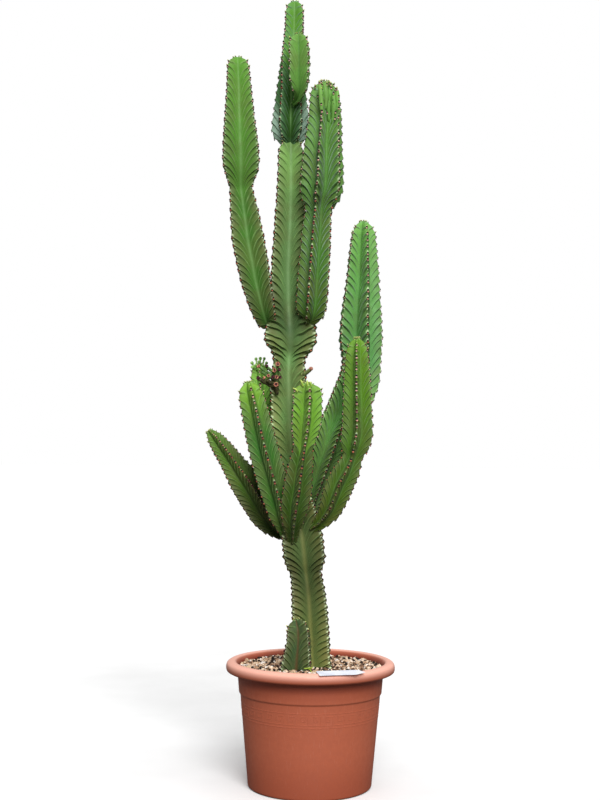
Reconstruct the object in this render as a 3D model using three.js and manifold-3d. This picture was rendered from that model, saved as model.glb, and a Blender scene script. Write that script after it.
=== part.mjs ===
// A potted euphorbia: a branched, ribbed succulent in a terracotta-coloured nursery pot.
// Millimetres, +Z up. The origin is the centre of the pot's flat base, +X is to the right and
// -Y is the front. Nothing moves: the plant stands in its mix, and the label lies on the rim.
import * as THREE from "three";
import { mergeVertices } from "three/addons/utils/BufferGeometryUtils.js";
import Module from "manifold-3d";

const wasm = await Module();
wasm.setup();

// Driving dimensions

const GAP = 0.35; // clearance kept between two pieces that touch
const FRONT = new THREE.Vector3(0, -1, 0);
const UP = new THREE.Vector3(0, 1, 0); // the axis that cylinders and lathe shapes are made round
const STEM_TIP_RISE = 3; // how far a stem's tip stands over its last ring

const POT = {
  sides: 40,
  wall: 3,
  floor: 3.2,
  baseRadius: 124.5,
  footRounding: 8,
  stepHeight: 183, // where the body meets the collar
  stepRadius: 140.6,
  collarRadius: 143.4, // collar just above the step
  collarTopRadius: 146.6,
  collarTop: 224,
  rimRadius: 170,
  rimTop: 248.3,
  lipHeight: 226.5, // lower edge of the rolled rim
  drainHoles: 8,
  drainRadius: 7,
  drainCircle: 92,
};

const MIX = {
  top: 236.5,
  sides: 40,
  rings: 8, // rings of grains from the trunk out to the wall
  firstRing: 36,
  grainHeight: 2.2, // how far a grain stands over the mean level
  grainShift: 0.32, // sideways jitter, as a share of the spacing
};

const LABEL = {
  thickness: 0.8,
  outline: [[0, 0], [72, 0], [93, 11], [80, 25], [-1, 25]],
  corner: [15.5, -172, 246.7], // its near left corner
  turn: 13, // degrees about Z, along the rim
  tilt: 9.5, // degrees, the far edge higher
};

// A rib's outline from one crest to just before the next: the share of the way round, and the
// radius as a share of the crest radius. Broad faces have a flank point on each side of the groove,
// and narrow ones a flat groove between two flank points.
const BROAD_FACE = [
  { turn: 0 },
  { turn: 0.25, flank: 1 },
  { turn: 0.5, groove: 1 },
  { turn: 0.75, flank: 1 },
];
const NARROW_FACE = [{ turn: 0 }, { turn: 0.36, flank: 1 }, { turn: 0.64, flank: 1 }];

const RIB = {
  toothRise: 1.5, // how far a tooth stands out from the mean crest
  notchDepth: 1.8, // and how far the notch between two teeth stands in
  fullTooth: 20, // crest radius under which teeth get smaller
  ridge: 0.04, // how far a ridge of a face stands out, as a share of the crest radius
  crestLift: 0.2, // ridges climb from the groove to the tooth: crest raised, groove lowered
  grooveDrop: 0.28,
  tipCrowding: 0.25, // teeth stand closer together towards the tip
  fade: 3, // rings at each end over which the climb runs out
};

// One tooth in a few is drawn out into a spine, staggered so that every side of a stem has some.
const SPINE = {
  every: 5,
  stagger: 2,
  length: 4,
  radius: 1.1,
  rise: 0.35, // upward lean, as a share of the outward reach
};

// Each stem has its centre line, its number of ribs, the direction its first rib faces in degrees
// from the front, its tooth spacing, and its girth: at each height, the radius of the rib crests.
// A waist in the girth marks where one year's growth ends and the next begins.

const TRUNK_FLUSHES = {
  ribs: 4,
  facing: 45,
  face: BROAD_FACE,
  grooveDepth: 0.46,
  flankDepth: 0.56,
  pitch: 30,
  line: [
    [8, 0, 185], [7, 0, 232], [4, 0, 288], [-1, 0, 328], [-10, 0, 409], [-21, 0, 489], [-30, 0, 550],
    [-37, 0, 610], [-42, 0, 671], [-46, 0, 732], [-48, 0, 783], [-49, 0, 844], [-48, 0, 896],
    [-51, 0, 967], [-52, 0, 1033], [-49, 0, 1138], [-48, 0, 1226], [-50, 0, 1300],
  ],
  girth: [
    [185, 26], [205, 38], [232, 47], [288, 46], [328, 50], [388, 49], [409, 46], [429, 50], [453, 57],
    [489, 58], [530, 50], [575, 38], [600, 35], [631, 39], [675, 44], [716, 50], [793, 49], [824, 45],
    [845, 42], [865, 54], [886, 68], [900, 71], [920, 70], [941, 61], [968, 50], [1013, 46],
    [1081, 43], [1139, 41], [1226, 36], [1271, 34], [1288, 32], [1300, 18],
  ],
};

const TRUNK_TOP = {
  ribs: 5,
  facing: 36,
  face: BROAD_FACE,
  grooveDepth: 0.42,
  flankDepth: 0.52,
  pitch: 28,
  line: [[-50, 0, 1276], [-50, 0, 1340], [-50, 0, 1402], [-48, 0, 1476], [-45, 0, 1539], [-44, 0, 1596]],
  girth: [
    [1276, 14], [1288, 27], [1309, 38], [1334, 41], [1350, 40], [1371, 37], [1413, 32], [1455, 30],
    [1476, 29], [1507, 25], [1539, 22], [1570, 21], [1585, 18], [1596, 9],
  ],
};

const NARROW = { face: NARROW_FACE, grooveDepth: 0.44, flankDepth: 0.44, pitch: 33 };
const BROAD = { face: BROAD_FACE, grooveDepth: 0.42, flankDepth: 0.52, pitch: 31 };

const ARMS = {
  basal_stub: {
    ...NARROW,
    ribs: 4,
    facing: 30,
    colour: 0x3f5a35,
    line: [[-30, -37, 205], [-31, -38, 238], [-31, -38, 294], [-27, -33, 331]],
    girth: [[205, 20], [238, 33], [275, 32], [305, 28], [322, 21], [331, 10]],
  },
  front_center_arm: {
    ...NARROW,
    ribs: 5,
    facing: 10,
    colour: 0x6fa63c,
    line: [
      [-40, -30, 488], [-39, -52, 530], [-36, -60, 560], [-31, -64, 592], [-28, -68, 619], [-20, -73, 673],
      [-14, -76, 730], [-12, -77, 770], [-12, -78, 801],
    ],
    girth: [
      [488, 10], [515, 17], [530, 22], [560, 29], [592, 30], [619, 28], [655, 24], [673, 21], [682, 21.5],
      [695, 25], [712, 29], [740, 31], [780, 30], [790, 28], [796, 23], [801, 12],
    ],
  },
  front_left_arm: {
    ...NARROW,
    ribs: 5,
    facing: 11,
    colour: 0x437f45,
    line: [
      [-54, -26, 500], [-64, -42, 541], [-71, -47, 571], [-79, -50, 601], [-100, -52, 674], [-117, -50, 746],
      [-125, -48, 780], [-130, -47, 804],
    ],
    girth: [
      [500, 9], [515, 14], [541, 24], [571, 29], [601, 32], [674, 31], [720, 29.5], [746, 28.5],
      [780, 26], [793, 21], [804, 10],
    ],
  },
  front_right_arm: {
    ...NARROW,
    ribs: 5,
    facing: -6,
    colour: 0x5a9a45,
    line: [
      [0, -28, 514], [16, -38, 526], [34, -48, 549], [47, -54, 580], [56, -55, 604], [70, -57, 632],
      [80, -58, 658], [84, -58, 678], [89, -58, 706], [89, -58, 751], [88, -58, 811], [87, -58, 893],
    ],
    girth: [
      [514, 9], [526, 15], [549, 23], [580, 28], [604, 29], [632, 27], [650, 22], [658, 20.5], [668, 25],
      [680, 31], [706, 32.8], [751, 30.5], [811, 27.8], [851, 25], [868, 22.5], [878, 19.5], [887, 14],
      [893, 7],
    ],
  },
  far_left_arm: {
    ...NARROW,
    ribs: 5,
    facing: 20,
    colour: 0x3c6b36,
    line: [
      [-52, 16, 494], [-70, 14, 504], [-97, 12, 537], [-119, 8, 574], [-142, 4, 610], [-164, 2, 643],
      [-187, 0, 676], [-210, -2, 707],
    ],
    girth: [
      [494, 9], [504, 16], [517, 25], [537, 32], [574, 35], [610, 34], [627, 30], [643, 26], [676, 21],
      [694, 16.5], [707, 8],
    ],
  },
  back_left_arm: {
    ...NARROW,
    ribs: 5,
    facing: 0,
    colour: 0x46853f,
    line: [
      [-54, 22, 536], [-63, 32, 560], [-76, 38, 589], [-87, 42, 640], [-96, 46, 692], [-104, 48, 752],
      [-107, 48, 793], [-112, 48, 855],
    ],
    girth: [
      [536, 9], [560, 15], [589, 20], [640, 24], [692, 24], [752, 23], [793, 22], [830, 19], [847, 16],
      [855, 10],
    ],
  },
  back_right_arm: {
    ...NARROW,
    ribs: 5,
    facing: 19,
    colour: 0x4c8c4b,
    line: [
      [-18, 26, 510], [-1, 48, 569], [29, 56, 672], [45, 58, 714], [76, 58, 777], [93, 56, 819],
      [98, 54, 860], [96, 52, 902], [97, 50, 964], [100, 50, 1027], [101, 48, 1090], [103, 46, 1148],
    ],
    girth: [
      [510, 9], [530, 14], [569, 26], [620, 32], [672, 34], [714, 38], [745, 42], [777, 46], [800, 47],
      [848, 45], [860, 44], [878, 46], [902, 49], [930, 48], [964, 45], [1000, 40.5], [1027, 38],
      [1060, 34], [1090, 31.5], [1125, 26.5], [1140, 19], [1148, 10],
    ],
  },
  upper_left_arm: {
    ...BROAD,
    ribs: 4,
    facing: 49,
    colour: 0x4f8f45,
    line: [
      [-74, -28, 928], [-92, -36, 930], [-104, -38, 946], [-109, -38, 972], [-119, -36, 1013],
      [-127, -34, 1054], [-135, -32, 1095], [-141, -30, 1136], [-147, -28, 1177], [-150, -27, 1198],
      [-151, -24, 1250], [-155, -20, 1344], [-158, -16, 1428], [-161, -14, 1473],
    ],
    girth: [
      [925, 9], [931, 19], [940, 26], [950, 30], [972, 34], [1013, 38.5], [1054, 41], [1095, 41],
      [1136, 37.5], [1165, 34], [1190, 30], [1199, 29], [1212, 34], [1230, 43], [1250, 47.5], [1290, 45],
      [1344, 38.5], [1385, 34], [1428, 30], [1450, 27], [1463, 21], [1473, 10],
    ],
  },
  upper_right_arm: {
    ...NARROW,
    ribs: 5,
    facing: -18.5,
    colour: 0x4b8a43,
    line: [
      [-26, -22, 926], [-12, -36, 938], [-1, -50, 970], [1, -56, 1005], [5, -60, 1071], [7, -60, 1111],
      [10, -60, 1148], [12, -60, 1172], [16, -60, 1202], [18, -58, 1274], [21, -56, 1339], [20, -55, 1376],
      [18, -54, 1412],
    ],
    girth: [
      [926, 9], [938, 21], [950, 30], [972, 34], [1005, 34], [1071, 32.5], [1111, 31], [1148, 28.5],
      [1165, 30], [1180, 38], [1200, 46], [1232, 45], [1274, 41.5], [1300, 39], [1339, 35.5], [1376, 33],
      [1395, 29], [1404, 23], [1412, 12],
    ],
  },
  top_front_arm: {
    ...BROAD,
    ribs: 4,
    facing: 35,
    colour: 0x57993f,
    line: [
      [-36, -24, 1340], [-30, -38, 1353], [-31, -48, 1368], [-32, -54, 1386], [-33, -57, 1416],
      [-33, -58, 1457], [-35, -58, 1508],
    ],
    girth: [
      [1340, 7], [1353, 10], [1368, 14], [1386, 20], [1416, 26.5], [1457, 27.5], [1490, 26], [1501, 20],
      [1508, 9],
    ],
  },
};

// Round green flower buds, each on a short stalk, round the tip of the back left arm.
const BUDS = {
  centre: [-111, 45, 846],
  round: 6, // buds round the middle one
  spread: 13,
  rise: 16,
  droop: 3, // how much lower the buds round it stand
  radius: 4.2,
  stalkRadius: 1.8,
};

// Spent flower cups on stout green stalks, on the left rib of the trunk.
const SPRAY = {
  knob: [-84, -38, 817],
  knobRadius: 9,
  stalkRadius: 3.6,
  cupSides: 6,
  cupRadius: 5.6,
  cupDepth: 7,
  tips: [
    [-109, -47, 838], [-93, -53, 838], [-109, -48, 814], [-95, -55, 813],
    [-74, -48, 842], [-79, -55, 829], [-74, -55, 814], [-75, -53, 802],
  ],
};

const OLD_STALK = { root: [-16, -28, 818], tip: [-1, -40, 834], rootRadius: 4.6, tipRadius: 3.6 };

const SEEDLING = {
  foot: [2, -78, 226],
  bend: [1, -78, 240],
  tip: [-6, -78, 244],
  stemRadius: 0.9,
  leaves: [
    { at: [-9, -79, 244], turn: 20 },
    { at: [-1, -76, 245], turn: 200 },
  ],
  leafSize: [5.5, 3.4, 1],
};

// Small helpers

const vector = (point) => new THREE.Vector3(...point);
const radians = THREE.MathUtils.degToRad;

// The corner points and triangles of a geometry, with the points that coincide made one.
function surfaceOf(geometry) {
  const bare = geometry.clone();
  bare.deleteAttribute("normal");
  bare.deleteAttribute("uv");
  const { attributes, index } = mergeVertices(bare, 1e-4);
  const points = Array.from({ length: attributes.position.count }, (_, i) =>
    new THREE.Vector3().fromBufferAttribute(attributes.position, i));
  const faces = Array.from({ length: index.count / 3 }, (_, i) =>
    Array.from(index.array.slice(3 * i, 3 * i + 3)));
  return { points, faces };
}

function closedSolid({ points, faces }) {
  return new wasm.Manifold(
    new wasm.Mesh({
      numProp: 3,
      vertProperties: new Float32Array(points.flatMap((point) => point.toArray())),
      triVerts: new Uint32Array(faces.flat()),
    }),
  );
}

const solidOf = (geometry) => closedSolid(surfaceOf(geometry));

function geometryOf(solid) {
  const mesh = solid.getMesh();
  return new THREE.BufferGeometry()
    .setAttribute("position", new THREE.BufferAttribute(mesh.vertProperties, 3))
    .setIndex(new THREE.BufferAttribute(mesh.triVerts, 1));
}

// The biggest body of a solid: a cut can leave slivers that aren't part of the piece.
function mainBody(solid) {
  return solid.decompose().reduce((best, body) => (body.volume() > best.volume() ? body : best));
}

// A value read off stations of [place, value], straight between them.
function along(stations, place) {
  const next = stations.findIndex(([at]) => at > place);
  if (next === 0) return stations[0][1];
  if (next < 0) return stations.at(-1)[1];
  const [from, start] = stations[next - 1];
  const [to, end] = stations[next];
  return THREE.MathUtils.mapLinear(place, from, to, start, end);
}

// A repeatable number from 0 to 1 for each grain.
function chance(ring, place, draw) {
  const wave = Math.sin(ring * 12.9898 + place * 78.233 + draw * 37.719) * 43758.5453;
  return wave - Math.floor(wave);
}

// Stems

// One ring of a stem's outline, as [towards the front, to the right, along the stem] offsets. The
// crests have their own radius, because they stand higher up than the ring's centre.
function stemRing(stem, { radius, crest, isTooth, climb, clearance }) {
  const step = (isTooth ? RIB.toothRise : -RIB.notchDepth) * Math.min(1, crest / RIB.fullTooth);
  const ridge = isTooth ? RIB.ridge : -RIB.ridge;
  const corners = [];
  for (let rib = 0; rib < stem.ribs; rib++) {
    for (const { turn, flank, groove } of stem.face) {
      const angle = radians(stem.facing) + ((rib + turn) * 2 * Math.PI) / stem.ribs;
      let reach = crest + step;
      let lift = RIB.crestLift;
      if (flank) {
        reach = radius * (stem.flankDepth + ridge);
        lift = stem.face === NARROW_FACE ? -RIB.grooveDrop : -RIB.grooveDrop / 4;
      }
      if (groove) {
        reach = radius * stem.grooveDepth;
        lift = -RIB.grooveDrop;
      }
      corners.push([reach * Math.cos(angle), reach * Math.sin(angle), lift * radius * climb]);
    }
  }
  if (!clearance) return corners;
  return corners.map(([front, side, lift], i) => {
    const before = corners.at(i - 1);
    const after = corners[(i + 1) % corners.length];
    const normal = new THREE.Vector2(after[1] - before[1], before[0] - after[0]).normalize();
    return [front + normal.x * clearance, side + normal.y * clearance, lift];
  });
}

// The rings of a stem, from its foot to its tip: every second one is a ring of teeth.
function stemOutline(stem, clearance) {
  const line = new THREE.CatmullRomCurve3(stem.line.map(vector), false, "centripetal");
  const rings = 2 * Math.round(line.getLength() / stem.pitch);
  return Array.from({ length: rings + 1 }, (_, ring) => {
    const share = ring / rings;
    const crowded = Math.min(1, share * (1 + RIB.tipCrowding * (1 - share)));
    const centre = line.getPointAt(crowded);
    const ahead = line.getTangentAt(crowded);
    const front = FRONT.clone().addScaledVector(ahead, -FRONT.dot(ahead)).normalize();
    const side = ahead.clone().cross(front);
    const climb = Math.min(1, ring / RIB.fade, (rings - ring) / RIB.fade);
    const radius = along(stem.girth, centre.z);
    const crest = along(stem.girth, centre.z + RIB.crestLift * radius * climb * ahead.z);
    const points = stemRing(stem, { radius, crest, isTooth: ring % 2 === 1, climb, clearance });
    return { centre, ahead, front, side, points };
  });
}

// A point of a ring's outline in the part's own frame.
function outlinePoint({ centre, ahead, front, side, points }, corner) {
  const [forward, across, lift] = points[corner];
  const place = centre.clone().addScaledVector(ahead, lift);
  return place.addScaledVector(front, forward).addScaledVector(side, across);
}

// Draws a point of a surface out to a spine's tip, inside a small ring of new points round it.
function drawOut({ points, faces }, at, tip, radius) {
  const tooth = points.findIndex((point) => point.distanceTo(at) < 0.01);
  const inner = new Map();
  const innerOf = (corner) => {
    if (!inner.has(corner)) {
      const step = points[corner].clone().sub(points[tooth]).setLength(radius);
      inner.set(corner, points.push(points[tooth].clone().add(step)) - 1);
    }
    return inner.get(corner);
  };
  const drawn = faces.flatMap((face) => {
    const turn = face.indexOf(tooth);
    if (turn < 0) return [face];
    const [next, last] = [face[(turn + 1) % 3], face[(turn + 2) % 3]];
    const [innerNext, innerLast] = [innerOf(next), innerOf(last)];
    return [[tooth, innerNext, innerLast], [innerNext, next, last], [innerNext, last, innerLast]];
  });
  points[tooth].copy(tip);
  return { points, faces: drawn };
}

// The spines of a stem, above the mix only.
function withSpines(surface, stem, outline, clearance) {
  const growth = 1 + 1.2 * clearance;
  let spiny = surface;
  for (let ring = 1; ring < outline.length - 1; ring += 2) {
    const { centre, ahead } = outline[ring];
    for (let rib = 0; rib < stem.ribs; rib++) {
      const tooth = outlinePoint(outline[ring], rib * stem.face.length);
      const isSpiny = ((ring - 1) / 2 + SPINE.stagger * rib) % SPINE.every === 0;
      if (!isSpiny || tooth.z < MIX.top + 2 * SPINE.length) continue;
      const outward = tooth.clone().sub(centre);
      outward.addScaledVector(ahead, -outward.dot(ahead)).normalize();
      outward.addScaledVector(ahead, SPINE.rise).normalize();
      const tip = tooth.clone().addScaledVector(outward, SPINE.length * growth);
      spiny = drawOut(spiny, tooth, tip, SPINE.radius * growth);
    }
  }
  return spiny;
}

// A ribbed stem along its centre line, closed at both ends. With a clearance it is that much
// larger all round, which is the space that a neighbour has to leave free.
function ribbedStem(stem, clearance = 0) {
  const outline = stemOutline(stem, clearance);
  const rings = outline.length - 1;
  const corners = stem.ribs * stem.face.length;
  const geometry = new THREE.CylinderGeometry(1, 1, 1, corners, rings);
  const position = geometry.getAttribute("position");
  for (let i = 0; i < position.count; i++) {
    const ring = Math.round((position.getY(i) + 0.5) * rings);
    const isCentre = Math.hypot(position.getX(i), position.getZ(i)) < 0.5;
    const turn = Math.atan2(position.getX(i), position.getZ(i)) / (2 * Math.PI);
    const corner = Math.round((turn + 1) * corners) % corners;
    const capRise = ring === 0 ? -clearance : STEM_TIP_RISE + clearance;
    const place = isCentre
      ? outline[ring].centre.clone().addScaledVector(outline[ring].ahead, capRise)
      : outlinePoint(outline[ring], corner);
    position.setXYZ(i, ...place.toArray());
  }
  return closedSolid(withSpines(surfaceOf(geometry), stem, outline, clearance));
}

function trunk(clearance = 0) {
  return ribbedStem(TRUNK_FLUSHES, clearance).add(ribbedStem(TRUNK_TOP, clearance));
}

// A straight stalk from one point to another.
function stalk(from, to, fromRadius, toRadius, sides = 6) {
  const start = vector(from);
  const run = vector(to).sub(start);
  const geometry = new THREE.CylinderGeometry(toRadius, fromRadius, run.length(), sides);
  geometry.translate(0, run.length() / 2, 0);
  geometry.applyQuaternion(new THREE.Quaternion().setFromUnitVectors(UP, run.normalize()));
  geometry.translate(start.x, start.y, start.z);
  return solidOf(geometry);
}

function ball(at, radius, stretch = 1) {
  const geometry = new THREE.IcosahedronGeometry(radius, 0);
  geometry.scale(1, 1, stretch);
  geometry.translate(...at);
  return solidOf(geometry);
}

// Pot

// The inside wall follows the outside one, a wall's thickness in.
const POT_INSIDE = [
  [POT.floor, POT.baseRadius - POT.wall],
  [POT.stepHeight, POT.stepRadius - POT.wall],
  [POT.rimTop - 13, POT.collarTopRadius - POT.wall + 0.8],
];

function pot() {
  const rolled = POT.rimRadius - POT.collarTopRadius + POT.wall; // width of the rolled rim
  const crest = POT.rimRadius - rolled / 2;
  const outside = [
    [0, 0],
    [POT.baseRadius - POT.footRounding, 0],
    [POT.baseRadius - POT.footRounding * 0.3, POT.footRounding * 0.3],
    [POT.baseRadius, POT.footRounding],
    [POT.stepRadius, POT.stepHeight],
    [POT.collarRadius, POT.stepHeight + 3],
    [POT.collarTopRadius, POT.collarTop],
  ];
  const underRim = [
    [POT.collarTopRadius + 3, POT.rimTop - 6],
    [POT.rimRadius - POT.wall - 2, POT.rimTop - 6],
    [POT.rimRadius - POT.wall - 4, POT.lipHeight + 1.5],
  ];
  const overRim = [
    [POT.rimRadius - 5.5, POT.lipHeight],
    [POT.rimRadius - 1.2, POT.lipHeight + 4],
    [POT.rimRadius, POT.rimTop - 11],
    [POT.rimRadius - 2.8, POT.rimTop - 4.2],
    [crest + 3, POT.rimTop],
    [crest - 4, POT.rimTop],
    [crest - 9, POT.rimTop - 4.5],
  ];
  const inside = POT_INSIDE.map(([height, radius]) => [radius, height]).reverse();
  const profile = [...outside, ...underRim, ...overRim, ...inside, [0, POT.floor]];
  const shell = new THREE.LatheGeometry(profile.map((p) => new THREE.Vector2(...p)), POT.sides);
  shell.rotateX(Math.PI / 2);
  let solid = solidOf(shell);
  for (let hole = 0; hole < POT.drainHoles; hole++) {
    const drain = new THREE.CylinderGeometry(POT.drainRadius, POT.drainRadius, 4 * POT.floor, 12);
    drain.rotateX(Math.PI / 2);
    drain.translate(POT.drainCircle, 0, 0);
    drain.rotateZ((hole * 2 * Math.PI) / POT.drainHoles);
    solid = solid.subtract(solidOf(drain));
  }
  return solid;
}

// Growing mix: one root ball, its top covered in grains.
function mix() {
  const filled = POT_INSIDE.filter(([height]) => height < MIX.top);
  const wall = filled.map(([height, radius]) => [radius - GAP, height + GAP]);
  const edge = along(POT_INSIDE, MIX.top) - GAP;
  const spacing = (edge - MIX.firstRing) / MIX.rings;
  const surface = [];
  for (let ring = MIX.rings; ring >= 0; ring--) surface.push([MIX.firstRing + ring * spacing, MIX.top]);
  const profile = [[0, POT.floor + GAP], ...wall, ...surface, [0, MIX.top]];
  const filling = new THREE.LatheGeometry(profile.map((p) => new THREE.Vector2(...p)), MIX.sides);
  filling.rotateX(Math.PI / 2);
  const position = filling.getAttribute("position");
  for (let i = 0; i < position.count; i++) {
    if (position.getZ(i) < MIX.top - 0.01) continue;
    const radius = Math.hypot(position.getX(i), position.getY(i));
    const ring = Math.round((radius - MIX.firstRing) / spacing);
    const angle = Math.atan2(position.getY(i), position.getX(i));
    const place = Math.round((angle / (2 * Math.PI) + 1) * MIX.sides) % MIX.sides;
    if (ring < 0) continue;
    const peak = (ring + place) % 2 ? 1 : -1;
    const rise = MIX.grainHeight * peak * (0.4 + 0.6 * chance(ring, place, 1));
    const shift = ring < MIX.rings ? MIX.grainShift : 0;
    const out = radius + shift * spacing * (chance(ring, place, 2) - 0.5);
    const round = angle + ((2 * Math.PI) / MIX.sides) * shift * (chance(ring, place, 3) - 0.5);
    position.setXYZ(i, out * Math.cos(round), out * Math.sin(round), MIX.top + rise);
  }
  return solidOf(filling);
}

// Label: a flat strip with a pointed end.
function label() {
  const outline = new THREE.Shape(LABEL.outline.map((p) => new THREE.Vector2(...p)));
  const strip = new THREE.ExtrudeGeometry(outline, { depth: LABEL.thickness, bevelEnabled: false });
  strip.rotateX(radians(LABEL.tilt));
  strip.rotateZ(radians(LABEL.turn));
  strip.translate(...LABEL.corner);
  return solidOf(strip);
}

// Flowers, buds and seedling

function budCrown() {
  const [x, y, z] = BUDS.centre;
  let crown = stalk([x, y, z - 6], [x, y, z + BUDS.rise], BUDS.stalkRadius, BUDS.stalkRadius, 5);
  crown = crown.add(ball([x, y, z + BUDS.rise], BUDS.radius));
  for (let i = 0; i < BUDS.round; i++) {
    const angle = (i * 2 * Math.PI) / BUDS.round;
    const across = BUDS.spread * Math.cos(angle);
    const deep = BUDS.spread * Math.sin(angle);
    const root = [x + across / 2, y + deep / 2, z - 6];
    const head = [x + across, y + deep, z + BUDS.rise - BUDS.droop];
    crown = crown.add(stalk(root, head, BUDS.stalkRadius, BUDS.stalkRadius, 5)).add(ball(head, BUDS.radius));
  }
  return crown;
}

// An open cup on the end of a stalk, hollowed a little.
function flowerCup(from, to) {
  const outward = vector(to).sub(vector(from)).normalize();
  const { cupRadius, cupDepth, cupSides } = SPRAY;
  const profile = [[0, 0], [cupRadius * 0.6, 0], [cupRadius, cupDepth], [0, cupDepth * 0.5]];
  const cup = new THREE.LatheGeometry(profile.map((p) => new THREE.Vector2(...p)), cupSides);
  cup.applyQuaternion(new THREE.Quaternion().setFromUnitVectors(UP, outward));
  cup.translate(...vector(to).addScaledVector(outward, -cupDepth * 0.4).toArray());
  return solidOf(cup);
}

function flowerSpray() {
  let spray = ball(SPRAY.knob, SPRAY.knobRadius, 1.7);
  for (const tip of SPRAY.tips) {
    const root = [SPRAY.knob[0], SPRAY.knob[1], THREE.MathUtils.lerp(SPRAY.knob[2], tip[2], 0.5)];
    spray = spray.add(stalk(root, tip, SPRAY.stalkRadius, SPRAY.stalkRadius * 0.7, 4));
    spray = spray.add(flowerCup(root, tip));
  }
  return spray;
}

function seedling() {
  const { foot, bend, tip, stemRadius, leaves, leafSize } = SEEDLING;
  const shoot = stalk(foot, bend, stemRadius, stemRadius, 5);
  let solid = shoot.add(stalk([bend[0], bend[1], bend[2] - stemRadius], tip, stemRadius, stemRadius, 5));
  for (const { at, turn } of leaves) {
    const leaf = new THREE.SphereGeometry(1, 6, 4);
    leaf.rotateX(Math.PI / 2);
    leaf.scale(...leafSize);
    leaf.rotateZ(radians(turn));
    leaf.translate(...at);
    solid = solid.add(solidOf(leaf));
  }
  return solid;
}

// Assembly

const FINISH = {
  pot: { color: 0xb05c42, roughness: 0.55, metalness: 0 },
  growing_mix: { color: 0x8f7a66, roughness: 0.95, metalness: 0 },
  trunk: { color: 0x5f7a4f, roughness: 0.6, metalness: 0 },
  flower_spray: { color: 0x8a6a58, roughness: 0.8, metalness: 0 },
  old_flower_stalk: { color: 0x7c6a4c, roughness: 0.8, metalness: 0 },
  plant_label: { color: 0xeef1f6, roughness: 0.4, metalness: 0 },
  seedling: { color: 0xa8c83c, roughness: 0.6, metalness: 0 },
};

const plant = new THREE.Group();

function addPiece(name, solid, finish) {
  const mesh = new THREE.Mesh(geometryOf(solid), new THREE.MeshStandardMaterial(finish));
  mesh.geometry.computeVertexNormals();
  mesh.name = name;
  plant.add(mesh);
}

const trunkSpace = trunk(GAP);
const standing = [trunkSpace]; // the space that later stems keep clear of

addPiece("pot", pot(), FINISH.pot);
addPiece("trunk", mainBody(trunk()), FINISH.trunk);

for (const [name, arm] of Object.entries(ARMS)) {
  let solid = ribbedStem(arm);
  if (name === "back_left_arm") solid = solid.add(budCrown());
  for (const space of standing) solid = solid.subtract(space);
  standing.push(ribbedStem(arm, GAP));
  addPiece(name, mainBody(solid), { color: arm.colour, roughness: 0.55, metalness: 0 });
}

let rootBall = mix();
for (const space of standing) rootBall = rootBall.subtract(space);
const { foot, bend, stemRadius } = SEEDLING;
const hole = stemRadius + 2 * GAP;
rootBall = rootBall.subtract(stalk([foot[0], foot[1], foot[2] - GAP], bend, hole, hole, 5));
addPiece("growing_mix", mainBody(rootBall), FINISH.growing_mix);

let spray = flowerSpray();
for (const space of standing) spray = spray.subtract(space);
addPiece("flower_spray", mainBody(spray), FINISH.flower_spray);

const spent = stalk(OLD_STALK.root, OLD_STALK.tip, OLD_STALK.rootRadius, OLD_STALK.tipRadius, 8);
addPiece("old_flower_stalk", mainBody(spent.subtract(trunkSpace)), FINISH.old_flower_stalk);

addPiece("plant_label", label(), FINISH.plant_label);
addPiece("seedling", seedling(), FINISH.seedling);

export default plant;
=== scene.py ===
import logging
import math
from dataclasses import dataclass, field
from enum import Enum
from functools import reduce

import bpy
import numpy as np
from mathutils import Matrix, Vector


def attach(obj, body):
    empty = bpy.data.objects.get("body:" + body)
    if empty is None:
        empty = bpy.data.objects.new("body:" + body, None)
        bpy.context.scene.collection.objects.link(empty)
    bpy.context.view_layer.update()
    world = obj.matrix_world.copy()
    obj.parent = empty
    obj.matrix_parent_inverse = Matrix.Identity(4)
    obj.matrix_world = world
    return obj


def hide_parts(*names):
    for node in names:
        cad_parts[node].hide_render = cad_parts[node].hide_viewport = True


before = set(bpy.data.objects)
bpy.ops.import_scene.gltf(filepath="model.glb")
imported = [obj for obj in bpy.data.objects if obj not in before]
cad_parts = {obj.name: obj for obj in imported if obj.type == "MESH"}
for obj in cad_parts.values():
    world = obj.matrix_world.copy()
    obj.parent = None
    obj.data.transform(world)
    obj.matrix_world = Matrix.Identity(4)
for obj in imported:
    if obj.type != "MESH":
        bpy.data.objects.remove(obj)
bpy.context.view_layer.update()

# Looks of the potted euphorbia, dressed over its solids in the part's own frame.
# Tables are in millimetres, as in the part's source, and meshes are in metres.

BODY = "root"
MM = 0.001
FRONT = np.array([0.0, -1.0, 0.0])
LOG = logging.getLogger("euphorbia")

Array = np.ndarray
Material = bpy.types.Material
NodeTree = bpy.types.NodeTree
Socket = bpy.types.NodeSocket
Outputs = bpy.types.bpy_prop_collection
Colour = tuple[int, int, int]
Pair = tuple[float, float]
Point = tuple[float, float, float]
Table = tuple[Pair, ...]
Shape = tuple[Array, list[Array]]


# Numbers

def linear(colour: Colour) -> tuple[float, float, float, float]:
    """Turns a screen colour into the linear colour that a shader takes.

    Args:
        colour: red, green and blue, each from 0 to 255.

    Returns:
        The linear colour with an alpha of 1.
    """
    def one(value: int) -> float:
        """One channel, by the sRGB curve."""
        share = value / 255
        return share / 12.92 if share <= 0.04045 else ((share + 0.055) / 1.055) ** 2.4

    return (one(colour[0]), one(colour[1]), one(colour[2]), 1.0)


def read(table: Table, places: Array) -> Array:
    """Reads a table of (place, value) at many places, straight between its entries.

    Args:
        table: the entries, by rising place.
        places: where to read it.

    Returns:
        The values, in the shape of places.
    """
    stops = np.array(table, float)
    return np.interp(places, stops[:, 0], stops[:, 1])


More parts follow.
